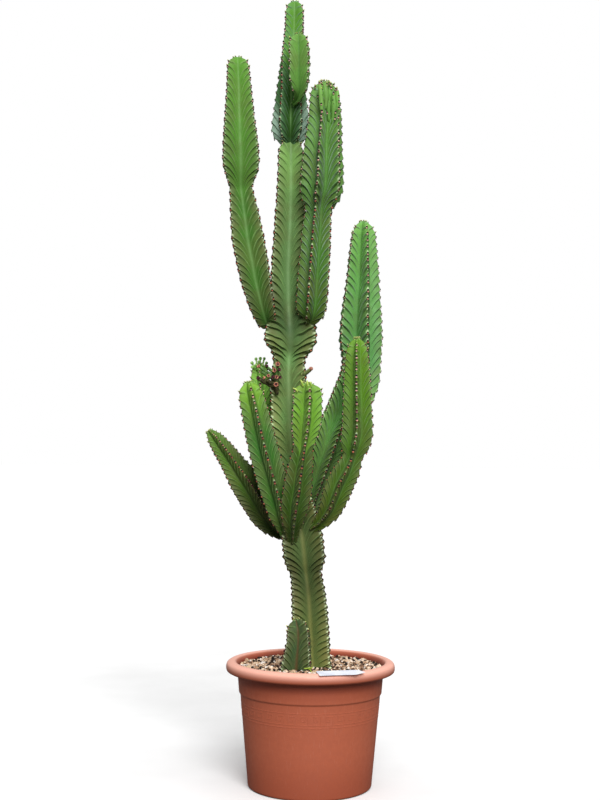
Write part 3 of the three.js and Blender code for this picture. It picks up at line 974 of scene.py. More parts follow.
class Face(Enum):
    """How the faces between two ribs are hollowed: groove depth and steepness at the crest."""

    TRUNK = (0.47, 2.15)
    BROAD = (0.44, 2.2)
    NARROW = (0.42, 2.2)


# One tooth's turn along the stem, from its spine shield up to just under the next one: the places
# of its rows, how far a ridge stands out there, and how far the rib's margin does.
TURN = np.array([0.0, 0.1, 0.28, 0.5, 0.69, 0.79, 0.86, 0.93])
RIDGE = np.array([1.0, 0.72, 0.42, 0.2, 0.0, -0.35, -0.6, 0.4])
MARGIN = np.array([0.5, 0.6, 0.1, -0.7, -1.3, -1.7, -1.6, -0.5])


@dataclass(frozen=True)
class StemShape:
    """A ribbed stem: centre line, girth by height, tooth spacing and age by height."""

    ribs: int
    facing: float
    face: Face
    line: tuple[Point, ...]
    girth: Table
    spacing: Table
    age: Table
    fall: Table = ((0, 1.2),)
    ridge: Table = ((0, 1.4),)
    gather: Table = ((0, 0),)
    waver: Table = ((0, 0),)
    # Painted light and shade: a brightness factor by height, above 1 where the stem is lighter,
    # below 1 where darker.
    bloom: Table = ((0, 1),)
    half_columns: int = 11
    edge: float = 2.0
    curl: float = 1.28
    tip_rise: float = 3.0
    seed: float = 1.0


@dataclass
class StemSurface:
    """The finished grid of a stem, kept for what grows on it."""

    points: Array
    centres: Array
    ahead: Array
    age: Array
    teeth: int
    columns: int


@dataclass
class StemLayout:
    """Where the rows of a stem's grid lie along it, and the columns round it.

    Each row has its length along the centre line, its tooth count, its step in TURN and its height
    at the crests. Each column has its share of the way from a crest to a groove, its turn round
    the stem and its nearest rib.
    """

    marks: Array
    tooth: Array
    step: Array
    heights: Array
    share: Array
    turns: Array
    rib: Array

    def sway(self, by_tooth: float, by_rib: float, seed: float) -> Array:
        """A wander over rows and ribs."""
        return sway(self.tooth[:, None] * by_tooth + self.rib * by_rib, seed)


@dataclass
class RibbedStem:
    """Builds a stem's skin, row by row, with the ridges running along the rows."""

    shape: StemShape
    crowding: float = 1.3
    calm_ends: Pair = (50, 38)
    slow_shift: float = 0.3
    quick_shift: float = 0.13
    odd_shift: float = 0.35
    full_girth: float = 30
    tip_length: float = 14
    unevenness: float = 0.38
    swelling: float = 0.5
    tooth_unevenness: float = 0.35
    tooth_reach: float = 0.13
    tooth_girth: float = 24
    tip_rings: Table = ((0.82, 0.45), (0.55, 0.8), (0.25, 0.97))

    def __post_init__(self) -> None:
        """Lays the centre line."""
        self.line = CentreLine(np.array(self.shape.line, float))

    def _layout(self) -> StemLayout:
        """Spaces the rows by the teeth, and the columns so that they crowd at the crests.

        Returns:
            The rows' and columns' places.
        """
        shape, line = self.shape, self.line
        marks = np.linspace(0, line.length, 1200)
        pace = 1 / read(shape.spacing, line.at(marks)[:, 2])
        count = np.concatenate([[0], np.cumsum((pace[1:] + pace[:-1]) / 2 * np.diff(marks))])
        teeth = max(3, int(round(count[-1])))
        count *= teeth / count[-1]
        tooth = np.concatenate([(np.arange(teeth)[:, None] + TURN).ravel(), [teeth]])
        step = np.concatenate([np.tile(np.arange(len(TURN)), teeth), [0]])
        marks = np.interp(tooth, count, marks)

        half = shape.half_columns
        rising = (np.arange(half + 1) / half) ** self.crowding
        share = np.tile(np.concatenate([rising[:-1], rising[:0:-1]]), shape.ribs)
        turn = np.concatenate([rising[:-1], 2 - rising[:0:-1]]) / 2
        turns = (np.arange(shape.ribs)[:, None] + turn).ravel() / shape.ribs
        rib = ((np.arange(len(share)) + half) // (2 * half)) % shape.ribs
        return StemLayout(marks, tooth, step, line.at(marks)[:, 2], share, turns, rib)

    def _places(self, layout: StemLayout) -> Array:
        """How far along the line each point lies: the rows fall and waver towards the grooves.

        Args:
            layout: the rows' and columns' places.

        Returns:
            The lengths along the line, row by row.
        """
        shape, line, marks, share = self.shape, self.line, layout.marks, layout.share
        fall = read(shape.fall, layout.heights) * read(shape.girth, layout.heights)
        foot, tip = self.calm_ends
        ends = smooth(0, foot, marks) * smooth(0, tip, line.length - marks)
        drop = (fall * ends)[:, None] * share[None, :] ** shape.curl
        near = 1 - smooth(0.1, 0.95, share)
        pace = np.gradient(marks, layout.tooth)[:, None]
        shift = (self.slow_shift * layout.sway(0.12, 1.9, shape.seed)
                 + self.odd_shift * (layout.rib % 2)
                 + self.quick_shift * layout.sway(2.2, 4.3, shape.seed + 4))
        wave = (read(shape.waver, layout.heights)[:, None] * smooth(0.12, 0.45, share)
                * sway(layout.tooth[:, None] * 0.8 + share * 3.5 + layout.rib * 2.3,
                       shape.seed + 7))
        return np.clip(marks[:, None] - drop + wave + shift * near * pace * ends[:, None],
                       0, line.length)

    def _reach(self, girth: Array, share: Array) -> Array:
        """How far from the line each point stands, from blunt crests to hollow grooves.

        Args:
            girth: the ribs' own reach at each point.
            share: each column's share of the way from a crest to a groove.

        Returns:
            The distances from the line.
        """
        blunt = self.shape.edge / np.maximum(girth * math.pi / self.shape.ribs, 1)
        flat = np.clip(np.sqrt(share ** 2 + blunt ** 2) - blunt, 0, 1)
        groove, power = self.shape.face.value
        return girth * (groove + (1 - groove) * (1 - flat) ** power)

    def _relief(self, layout: StemLayout, place: Array, girth: Array) -> tuple[Array, Array]:
        """The ridges and swellings on the faces, and the teeth at the crests.

        Args:
            layout: the rows' and columns' places.
            place: each point's length along the line.
            girth: the ribs' own reach at each point.

        Returns:
            How far each point moves off its face, and how far outward.
        """
        shape, share = self.shape, layout.share
        size = (np.clip(girth / self.full_girth, 0.25, 1.5)
                * smooth(0, self.tip_length, self.line.length - place))
        face = smooth(0.0, 0.1, share) * (1 - smooth(0.28, 0.86, share))
        uneven = 1 + self.unevenness * layout.sway(2.1, 3.7, shape.seed + 1)
        rise = (read(shape.ridge, layout.heights)[:, None] * size * face * uneven
                * RIDGE[layout.step][:, None])
        swell = (self.swelling * sway(place / 26 + layout.turns * 9, shape.seed + 2)
                 * smooth(0.1, 0.5, share))
        jut = 1 + self.tooth_unevenness * layout.sway(1.7, 2.9, shape.seed + 6)
        teeth = (MARGIN[layout.step][:, None] * jut * np.exp(-(share / self.tooth_reach) ** 2)
                 * np.clip(girth / self.tooth_girth, 0.2, 1))
        return rise + swell, teeth

    def surface(self) -> tuple[StemSurface, dict[str, Array]]:
        """Lays the grid.

        Returns:
            The grid, and its values per point by name.
        """
        shape, line, layout = self.shape, self.line, self._layout()
        even = math.radians(shape.facing) + 2 * math.pi * layout.turns
        angle = even + np.radians(read(shape.gather, layout.heights))[:, None] * np.sin(even)
        place = self._places(layout)
        centres, ahead = line.at(place), line.slope(place)
        front = unit(FRONT - ahead * (ahead @ FRONT)[..., None])
        side = np.cross(ahead, front)
        outward = front * np.cos(angle)[..., None] + side * np.sin(angle)[..., None]
        girth = read(shape.girth, centres[..., 2])
        bare = centres + outward * self._reach(girth, layout.share)[..., None]
        across = np.roll(bare, -1, axis=1) - np.roll(bare, 1, axis=1)
        normal = unit(np.cross(across, np.gradient(bare, axis=0)))
        relief, teeth = self._relief(layout, place, girth)
        points = bare + normal * relief[..., None] + outward * teeth[..., None]

        tip, middle, way = points[-1], centres[-1].mean(axis=0), ahead[-1].mean(axis=0)
        closing = [middle + (tip - middle) * scale + way * lift * shape.tip_rise
                   for scale, lift in self.tip_rings]

        def grown(values: Array) -> Array:
            """The values with those of the closing rows added."""
            return np.concatenate([values, np.repeat(values[-1:], len(closing), axis=0)])

        def by_row(values: Array) -> Array:
            """One value a row, spread over the columns."""
            return grown(np.broadcast_to(values[:, None], place.shape))

        age = by_row(read(shape.age, layout.heights))
        grid = StemSurface(np.concatenate([points, closing]), grown(centres), grown(ahead), age,
                           int(layout.tooth[-1]), len(layout.share))
        return grid, {
            "share": grown(np.broadcast_to(layout.share, place.shape)),
            "tooth": by_row(layout.tooth), "age": age,
            # The brightness factor by height: painted light and shade.
            "bloom": by_row(read(shape.bloom, layout.heights)),
            # How far each point looks sideways, where the painted side light goes.
            "flank": grown(np.abs(np.sin(angle))),
        }

    def skin(self, parts: MeshParts) -> StemSurface:
        """Adds the closed skin to a mesh.

        Args:
            parts: the mesh.

        Returns:
            The grid that it was made from.
        """
        grid, values = self.surface()
        points, faces = closed(grid.points.reshape(-1, 3), grid.columns,
                               grid.points[0].mean(axis=0), grid.points[-1].mean(axis=0))
        ends = {key: np.concatenate([value.ravel(), [value[0, 0], value[-1, 0]]])
                for key, value in values.items()}
        parts.add(points, faces, **ends)
        return grid


@dataclass
class TrunkSpace:
    """The inside of the trunk, where nothing that grows on an arm would show."""

    line: CentreLine
    girth: Table
    share: float = 0.55

    def holds(self, at: Array) -> bool:
        """Whether a point lies deep in the trunk.

        Args:
            at: the point.

        Returns:
            True if it does.
        """
        heights = self.line.places[:, 2]
        if not heights[0] < at[2] < heights[-1]:
            return False
        x = np.interp(at[2], heights, self.line.places[:, 0])
        y = np.interp(at[2], heights, self.line.places[:, 1])
        return bool(math.hypot(at[0] - x, at[1] - y) < self.share * read(self.girth, at[2]))


@dataclass
class Armature:
    """Spine shields, leaf scars, spines and tip leaves, gathered for one mesh with its draws."""

    rng: np.random.Generator
    parts: MeshParts = field(default_factory=MeshParts)
    shield: Point = (2.4, 2.2, 1.5)
    shield_lift: float = 0.7
    scar: Point = (2.2, 1.9, 1.3)
    scar_drop: float = 2.6
    spine_length: float = 1.35
    spine_radius: float = 0.3
    leaf: Point = (1.8, 2.4, 1.1)
    leafy_teeth: int = 3
    lowest: float = 239.0
    full_reach: float = 22
    size_draws: Pair = (0.88, 1.12)
    tip_size: float = 0.62
    tip_leaf_draws: Pair = (0.6, 0.85)
    cap_sides: int = 8
    cap_rings: Point = (105, 70, 35)

    def cover(self, grid: StemSurface, shape: StemShape, hidden: TrunkSpace | None) -> None:
        """Adds the trim of one surface, tooth by tooth.

        Args:
            grid: the surface.
            shape: its shape.
            hidden: the space in which a tooth would not show, if there is one.
        """
        for tooth in range(1, grid.teeth + 1):
            row = tooth * len(TURN)
            for rib in range(shape.ribs):
                column = rib * 2 * shape.half_columns
                at, centre, ahead = (rows[row, column]
                                     for rows in (grid.points, grid.centres, grid.ahead))
                if at[2] < self.lowest or (hidden and hidden.holds(at)):
                    continue
                outward = at - centre
                outward = unit(outward - ahead * (outward @ ahead))
                axes = np.stack([np.cross(ahead, outward), ahead, outward])
                size = float(np.clip(np.linalg.norm(at - centre) / self.full_reach, 0.55, 1.0))
                size *= self.rng.uniform(*self.size_draws)
                self.add_tooth(at, axes, size, float(grid.age[row, column]))
                if tooth > grid.teeth - self.leafy_teeth:
                    self.add_leaf(at, axes, size)
        self._crown(grid, shape)

    def _crown(self, grid: StemSurface, shape: StemShape) -> None:
        """Crowds young shields and leaves round the growing tip of one surface.

        Args:
            grid: the surface.
            shape: its shape.
        """
        middle = grid.centres[-1].mean(axis=0)
        ahead = unit(grid.ahead[-1].mean(axis=0))
        rim = grid.points[-3]
        for k in range(shape.ribs * 2):
            at = rim[(k * shape.half_columns + shape.half_columns // 2) % grid.columns]
            outward = at - middle
            outward = unit(outward - ahead * (outward @ ahead) + ahead * self.rng.uniform(0.3, 0.9))
            across = unit(np.cross(ahead, outward))
            axes = np.stack([across, np.cross(outward, across), outward])
            if k % 2 == 0:
                self.add_tooth(at, axes, self.tip_size, 1.0)
            self.add_leaf(at, axes, self.rng.uniform(*self.tip_leaf_draws))

    def add_tooth(self, at: Array, axes: Array, size: float, age: float) -> None:
        """Adds one shield with its scar and its pair of spines.

        Args:
            at: the tooth's place.
            axes: the ways across the rib, along the stem and outward, one row each.
            size: its size, 1 for a full-grown one.
            age: its age, from 0 for the oldest to 1.
        """
        parts, rng = self.parts, self.rng
        cap, faces = dome(self.cap_sides, self.cap_rings)
        draw = rng.random()
        shield = cap * np.array(self.shield) * size + np.array([0, self.shield_lift * size, -0.2])
        parts.add(at + shield @ axes, faces, kind=0.0, age=age, draw=draw)
        scar_foot = np.array([rng.uniform(-0.3, 0.3), -self.scar_drop * size, -0.5])
        scar = cap * np.array(self.scar) * size + scar_foot
        parts.add(at + scar @ axes, faces, kind=1.0, age=age, draw=draw)
        for way in (-1, 1):
            aim = unit(np.array([way * 0.75, rng.uniform(-0.25, 0.2), 0.85]))
            root = np.array([way * self.shield[0] * 0.45 * size, self.shield_lift * size,
                             self.shield[2] * 0.6 * size])
            self._spine(at, axes, root, root + aim * self.spine_length * size, draw)

    def _spine(self, at: Array, axes: Array, root: Array, tip: Array, draw: float) -> None:
        """Adds one spine, a slim four-sided point.

        Args:
            at: the tooth's place.
            axes: the ways across the rib, along the stem and outward, one row each.
            root: the spine's foot in these axes.
            tip: its point in them.
            draw: the tooth's own draw.
        """
        aim = unit(tip - root)
        across = unit(np.cross(aim, [0.0, 1.0, 0.0]))
        over = np.cross(aim, across)
        ring = [root + self.spine_radius * (across * math.cos(a) + over * math.sin(a))
                for a in angles(4)]
        points = at + np.vstack([ring, tip]) @ axes
        faces = np.array([[0, 1, 4], [1, 2, 4], [2, 3, 4], [3, 0, 4]])
        self.parts.add(points, [faces], kind=0.0, age=0.5, draw=draw)

    def add_leaf(self, at: Array, axes: Array, size: float) -> None:
        """Adds one small pointed leaf above a young tooth.

        Args:
            at: the tooth's place.
            axes: the ways across the rib, along the stem and outward, one row each.
            size: its size, 1 for a full-grown one.
        """
        body, faces = ball(2)
        leaf = body * np.array(self.leaf) * size
        leaf[:, 0] *= 1 - 0.55 * smooth(0, self.leaf[1], leaf[:, 1])
        lean = self.rng.uniform(0.5, 0.9)
        leaf = np.stack([leaf[:, 0], leaf[:, 1] * math.cos(lean) - leaf[:, 2] * math.sin(lean),
                         leaf[:, 1] * math.sin(lean) + leaf[:, 2] * math.cos(lean)], axis=-1)
        leaf += np.array([0, 2.2 * size, 1.2 * size])
        self.parts.add(at + leaf @ axes, [faces], kind=2.0, age=1.0, draw=self.rng.random())


# Each stem's brightness table by height is painted light and shade: lighter where the stem was lit,
# darker where it lay in shade.
TRUNK_FLUSHES = StemShape(
    ribs=4, facing=45, face=Face.TRUNK, half_columns=14, seed=3.0,
    fall=((185, 0.6), (400, 0.6), (430, 0.8), (640, 1.05), (845, 1.0), (865, 0.5), (950, 0.5),
          (1000, 0.95), (1288, 1.05)),
    ridge=((185, 1.8), (415, 1.8), (425, 2.4), (480, 2.2), (620, 1.7), (845, 1.5), (865, 3.2),
           (950, 3.0), (990, 1.7), (1288, 1.5)), gather=((0, 5),),
    waver=((420, 1), (864, 1), (880, 4.5), (945, 4.5), (965, 1)),
    line=((6, 0, 185), (3, 0, 232), (0, 0, 288), (-2, 0, 338), (-6, 0, 388), (-11, 0, 425),
          (-18, 0, 489), (-29, 0, 550), (-37, 0, 610), (-42, 0, 671), (-46, 0, 732), (-48, 0, 783),
          (-49, 0, 844), (-46, 0, 896), (-50, 0, 967), (-52, 0, 1033), (-49, 0, 1138),
          (-48, 0, 1226), (-50, 0, 1330)),
    girth=((185, 28), (205, 41), (232, 50), (288, 49), (338, 47), (388, 44), (412, 41), (425, 40),
           (434, 45), (443, 50), (457, 54), (489, 54), (530, 50), (552, 48), (575, 39), (600, 35),
           (631, 39), (675, 44), (716, 50), (793, 49), (824, 45), (845, 41.5), (861, 43), (869, 48),
           (878, 58), (886, 65), (899, 69), (920, 65), (941, 58), (968, 49.5), (1013, 46),
           (1081, 43), (1139, 41), (1226, 36), (1271, 34.5), (1286, 32), (1296, 26), (1306, 19),
           (1330, 10)),
    spacing=((185, 12), (400, 12.5), (430, 14), (600, 15), (620, 16.5), (840, 17), (860, 13),
             (960, 14), (1000, 17), (1288, 16)),
    age=((185, 0.0), (420, 0.1), (424, 0.16), (598, 0.22), (604, 0.32), (858, 0.36), (866, 0.5),
         (960, 0.5), (1150, 0.55), (1286, 0.9)),
    bloom=((205, 1.35), (268, 1.4), (348, 1.0), (400, 0.7), (425, 0.55), (480, 0.72), (540, 0.9),
           (600, 1.2), (700, 1.55), (750, 1.6), (812, 1.0), (845, 1.05), (875, 1.32), (896, 1.12),
           (915, 0.76), (940, 0.5), (965, 0.6), (1013, 0.98), (1200, 1.05), (1280, 1.2),
           (1300, 0.8)))
TRUNK_TOP = StemShape(
    ribs=5, facing=36, face=Face.BROAD, fall=((0, 1.1),), ridge=((1276, 1.5), (1400, 0.8)),
    seed=5.0,
    line=((-50, 0, 1276), (-50, 0, 1340), (-50, 0, 1402), (-48, 0, 1476), (-45, 0, 1539),
          (-44, 0, 1596)),
    girth=((1276, 8), (1290, 14), (1300, 21), (1305, 27), (1312, 33), (1321, 38), (1334, 41),
           (1350, 40), (1371, 37), (1413, 32), (1455, 30), (1476, 29), (1507, 26), (1539, 24),
           (1570, 23.5), (1583, 21), (1591, 16), (1596, 9)),
    spacing=((1276, 17), (1400, 16), (1500, 14), (1596, 12)),
    age=((1276, 0.0), (1350, 0.05), (1400, 0.5), (1500, 0.9), (1596, 1.0)),
    gather=((1276, -8), (1400, 0), (1500, 22), (1596, 25)))

ARMS: dict[str, StemShape] = {
    "basal_stub": StemShape(
        ribs=4, facing=40, face=Face.NARROW, half_columns=13, fall=((0, 1.0),), ridge=((0, 1.6),),
        seed=7.0,
        line=((-26, -34, 205), (-27, -38, 240), (-24, -38, 293), (-25, -36, 315), (-29, -33, 332)),
        girth=((205, 26), (240, 42), (265, 37), (293, 31), (313, 29), (323, 25), (329, 18),
               (332, 9)), spacing=((205, 11), (332, 10)), age=((205, 0.0), (332, 0.2))),
    "front_center_arm": StemShape(
        ribs=5, facing=10, face=Face.NARROW, ridge=((680, 1.4), (700, 2.1)), seed=9.0,
        line=((-40, -30, 488), (-39, -52, 530), (-36, -60, 560), (-31, -64, 592), (-28, -68, 619),
              (-20, -73, 673), (-14, -76, 730), (-12, -77, 770), (-12, -78, 801)),
        girth=((488, 10), (515, 17), (530, 22), (560, 29), (592, 30), (619, 28), (655, 24),
               (673, 21), (682, 21.5), (695, 25), (712, 29), (740, 31), (780, 30), (790, 28),
               (796, 23), (801, 12)), spacing=((488, 15), (670, 14.5), (690, 13.5), (801, 12)),
        age=((488, 0.1), (680, 0.35), (690, 0.85), (801, 1.0))),
    "front_left_arm": StemShape(
        ribs=5, facing=11, face=Face.NARROW, seed=11.0,
        line=((-54, -26, 500), (-64, -42, 541), (-71, -47, 571), (-79, -50, 601), (-100, -52, 674),
              (-117, -50, 746), (-125, -48, 780), (-130, -47, 804)),
        girth=((500, 9), (515, 14), (541, 24), (571, 29), (601, 32), (674, 31), (720, 29.5),
               (746, 28.5), (780, 26), (793, 21), (804, 10)), spacing=((500, 16), (804, 14.5)),
        age=((500, 0.3), (700, 0.5), (760, 0.7), (804, 1.0))),
    "front_right_arm": StemShape(
        ribs=5, facing=-6, face=Face.NARROW, seed=13.0,
        line=((0, -28, 514), (16, -38, 526), (34, -48, 549), (47, -54, 580), (56, -55, 604),
              (70, -57, 632), (80, -58, 658), (84, -58, 678), (89, -58, 706), (89, -58, 751),
              (88, -58, 811), (87, -58, 893)),
        girth=((514, 9), (526, 15), (549, 23), (580, 28), (604, 29), (632, 27), (650, 22),
               (658, 20.5), (668, 25), (680, 31), (706, 32.8), (751, 30.5), (811, 27.8), (851, 25),
               (868, 22.5), (878, 19.5), (887, 14), (893, 7)),
        spacing=((514, 14), (650, 14), (680, 16.5), (850, 13), (893, 12)),
        bloom=((514, 1.1), (550, 1.0), (660, 1.0), (690, 0.84), (850, 0.84), (893, 0.98)),
        age=((514, 0.1), (668, 0.3), (678, 0.65), (800, 0.85), (893, 1.0))),
    "far_left_arm": StemShape(
        ribs=5, facing=20, face=Face.NARROW, seed=15.0,
        line=((-52, 16, 494), (-70, 14, 504), (-97, 12, 537), (-119, 8, 574), (-142, 4, 610),
              (-164, 2, 643), (-187, 0, 676), (-210, -2, 707)),
        girth=((494, 9), (504, 16), (517, 25), (537, 32), (574, 35), (610, 34), (627, 30),
               (643, 26), (676, 21), (694, 16.5), (707, 8)),
        bloom=((494, 0.6), (560, 0.74), (610, 0.96), (707, 1.05)),
        spacing=((494, 12), (600, 12), (707, 8.5)),
        age=((494, 0.0), (610, 0.2), (640, 0.5), (707, 0.8))),
    "back_left_arm": StemShape(
        ribs=5, facing=0, face=Face.NARROW, seed=17.0,
        line=((-54, 22, 536), (-63, 32, 560), (-76, 38, 589), (-87, 42, 640), (-96, 46, 692),
              (-104, 48, 752), (-107, 48, 793), (-111, 48, 848)),
        girth=((536, 9), (560, 15), (589, 20), (640, 24), (692, 24), (752, 23), (793, 22),
               (830, 19), (842, 15), (848, 8)), spacing=((536, 15), (848, 13)),
        age=((536, 0.3), (750, 0.6), (848, 0.95))),
    "back_right_arm": StemShape(
        ribs=5, facing=19, face=Face.NARROW, ridge=((0, 1.7),), seed=19.0,
        line=((-18, 26, 510), (-1, 48, 569), (31, 56, 672), (45, 58, 714), (76, 58, 777),
              (93, 56, 819), (98, 54, 860), (96, 52, 902), (97, 50, 964), (100, 50, 1027),
              (101, 48, 1090), (103, 46, 1148)),
        girth=((510, 9), (530, 14), (569, 26), (620, 33), (645, 36), (672, 38.5), (714, 40),
               (745, 42.5), (777, 46), (800, 47), (848, 45), (860, 44), (878, 46), (902, 49),
               (930, 48), (964, 45), (1000, 40.5), (1027, 38), (1060, 34), (1090, 31.5),
               (1125, 26.5), (1140, 19), (1148, 10)),
        spacing=((510, 13), (700, 13), (860, 16), (950, 18), (1060, 15), (1148, 12)),
        bloom=((510, 0.6), (600, 0.7), (690, 1.3), (742, 1.8), (840, 1.2), (878, 1.0), (1148, 1.0)),
        age=((510, 0.1), (840, 0.35), (880, 0.55), (1050, 0.75), (1148, 1.0))),
    "upper_left_arm": StemShape(
        ribs=4, facing=49, face=Face.BROAD, half_columns=13, fall=((0, 1.25),), ridge=((0, 1.3),),
        gather=((0, 8),), seed=21.0,
        line=((-92, -25, 922), (-97, -32, 931), (-103, -37, 950), (-109, -38, 972),
              (-119, -36, 1013), (-127, -34, 1054), (-135, -32, 1095), (-141, -30, 1136),
              (-147, -28, 1177), (-150, -27, 1198), (-151, -24, 1250), (-155, -20, 1344),
              (-158, -16, 1428), (-161, -14, 1473)),
        girth=((922, 9), (925, 16), (930, 22), (938, 26.5), (952, 30), (972, 34), (1013, 38.5),
               (1054, 41), (1095, 41), (1136, 37.5), (1165, 34), (1190, 30), (1199, 29), (1212, 34),
               (1230, 43), (1250, 47.5), (1290, 45), (1344, 38.5), (1385, 34), (1428, 30),
               (1450, 28), (1460, 25.5), (1467, 20), (1473, 11)),
        spacing=((919, 12), (960, 14), (1060, 18), (1190, 18), (1210, 15.5), (1400, 15.5),
                 (1473, 12)),
        bloom=((919, 0.6), (978, 0.68), (1060, 0.92), (1101, 0.96), (1190, 0.9), (1230, 0.82),
               (1288, 0.8), (1412, 0.94), (1473, 1.0)),
        age=((919, 0.15), (960, 0.35), (1196, 0.5), (1204, 0.72), (1473, 1.0))),
    "upper_right_arm": StemShape(
        ribs=5, facing=-18.5, face=Face.NARROW, seed=23.0,
        ridge=((0, 1.5), (1140, 1.5), (1180, 2.3), (1260, 1.9), (1320, 1.2)),
        gather=((1150, 0), (1200, -12)),
        line=((-12, -34, 920), (-5, -44, 938), (-1, -51, 970), (1, -56, 1005), (5, -60, 1071),
              (7, -60, 1111), (10, -60, 1148), (12, -60, 1172), (16, -60, 1202), (18, -58, 1274),
              (21, -56, 1339), (20, -55, 1376), (18, -54, 1412)),
        girth=((920, 8), (930, 14), (936, 22), (943, 29), (955, 33), (972, 34), (1005, 34),
               (1071, 32.5), (1111, 31), (1148, 28.5), (1160, 31), (1168, 36), (1180, 42.5),
               (1200, 46), (1232, 45), (1274, 41.5), (1300, 39), (1339, 35.5), (1376, 33),
               (1395, 29), (1404, 23), (1412, 12)),
        spacing=((920, 12), (950, 15), (1160, 15.5), (1200, 17), (1340, 16), (1412, 12)),
        bloom=((920, 0.9), (1000, 1.1), (1100, 1.12), (1168, 1.0), (1180, 0.85), (1290, 0.86),
               (1412, 0.98)),
        age=((920, 0.1), (1000, 0.35), (1168, 0.5), (1176, 0.72), (1412, 1.0))),
    "top_front_arm": StemShape(
        ribs=4, facing=41, face=Face.BROAD, half_columns=13, fall=((0, 1.45),), ridge=((0, 0.6),),
        seed=25.0,
        line=((-44, -22, 1376), (-36, -40, 1382), (-32, -50, 1394), (-33, -56, 1420),
              (-33, -58, 1457), (-35, -58, 1508)),
        girth=((1376, 6), (1382, 9), (1392, 15), (1402, 21), (1414, 25), (1430, 27), (1457, 27.5),
               (1490, 26), (1501, 20), (1508, 9)), spacing=((1376, 18), (1480, 17), (1508, 12)),
        age=((1376, 0.75), (1508, 1.0))),
}

TRUNK_FINISH = StemFinish(
    old=(92, 107, 56), mature=(104, 142, 82), young=(132, 178, 94), centre=(138, 176, 116),
    centre_old=(150, 148, 82), centre_share=0.5, margin=(116, 106, 58), margin_share=0.5)
# Its old and mature tones are dark partly as painted shade under the top front arm, and its
# sideways faces carry painted side light.
TOP_FINISH = StemFinish(
    old=(46, 86, 24), mature=(58, 108, 34), young=(98, 158, 46), centre=(132, 176, 104),
    centre_old=(66, 106, 50), centre_share=0.45, margin=(120, 168, 128), margin_share=0.3,
    ridge=(150, 190, 158), flank=(186, 218, 198), flank_share=0.9)
ARM_FINISHES: dict[str, StemFinish] = {
    "basal_stub": StemFinish(
        (62, 84, 50), (76, 106, 62), (80, 120, 70), centre=(96, 62, 32), centre_share=0.7),
    "front_center_arm": StemFinish(
        (48, 70, 18), (66, 106, 24), (122, 178, 54), margin_share=0.25, notch_shade_share=0.35,
        pad_highlight_old=0.2, centre=(110, 160, 70), centre_share=0.3),
    "front_left_arm": StemFinish(
        (64, 90, 28), (60, 116, 36), (130, 184, 48), notch_shade_share=0.4, centre=(40, 78, 28),
        pad_highlight_old=0.35, centre_share=0.55, margin_share=0.3),
    "front_right_arm": StemFinish(
        (74, 96, 18), (70, 116, 26), (110, 162, 36), centre=(116, 166, 92), centre_share=0.3,
        margin_share=0.3, notch_shade_share=0.35, pad_highlight_old=0.2),
    "far_left_arm": StemFinish(
        (56, 78, 24), (76, 118, 24), (96, 138, 42), notch_shade_share=0.3, centre=(44, 58, 34),
        centre_share=0.5, pad=(196, 204, 140)),
    # Painted light: its tones are lightened to make up for the shade that the trunk's bulge and the
    # upper left arm's foot cast on it.
    "back_left_arm": StemFinish(
        (92, 136, 58), (120, 186, 74), (158, 218, 90), centre=(60, 104, 56), centre_share=0.4,
        margin_share=0.25),
    # Painted light: its oldest tone is lightened to make up for the shade on its lower part.
    "back_right_arm": StemFinish(
        (112, 150, 66), (98, 163, 86), (126, 192, 92), centre=(70, 118, 64), centre_share=0.4,
        ridge_highlight_share=0.6, ridge=(176, 214, 176), margin_share=0.2),
    "upper_left_arm": StemFinish(
        (62, 94, 30), (76, 130, 44), (102, 164, 56), centre=(128, 176, 98), centre_share=0.45,
        margin_share=0.55),
    "upper_right_arm": StemFinish(
        (76, 100, 24), (78, 131, 50), (116, 173, 78), centre=(108, 164, 84), centre_share=0.3,
        ridge_highlight_share=0.7, ridge=(190, 226, 196), margin_share=0.2),
    "top_front_arm": StemFinish(
        (84, 136, 58), (88, 142, 60), (110, 166, 70), centre=(76, 130, 52), centre_share=0.6,
        margin_share=0.15, ridge_highlight_share=0.4, furrow_shade_share=0.5),
}


# Pieces

class Maker:
    """Hangs finished pieces on the frame and reports them."""

    def __init__(self) -> None:
        """Starts the list of pieces."""
        self.made: list[str] = []

    def keep(self, parts: MeshParts, name: str, material: Material, slot: str, *replaced: str,
             is_smooth: bool = True) -> None:
        """Builds a piece, rides it on the plant's only body and reports it.

        Args:
            parts: the piece's mesh.
            name: its name.
            material: its finish.
            slot: the name of a slot; not used.
            replaced: the solids that it stands for.
            is_smooth: whether its faces are shaded smooth.
        """
        piece = parts.build(name, material, is_smooth)
        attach(piece, BODY)
        if replaced:
            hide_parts(*replaced)
        self.made.append(piece.name)
        LOG.info("%s: %d faces", piece.name, len(piece.data.polygons))


@dataclass
class Part:
    """One part of the object, with the shared node groups and the maker that keeps its pieces."""

    effects: Effects
    maker: Maker

    def soft(self, name: str, *look: object) -> Material:
        """Makes a soft finish from its tones and numbers."""
        return SoftFinish(*look).build(name, self.effects)


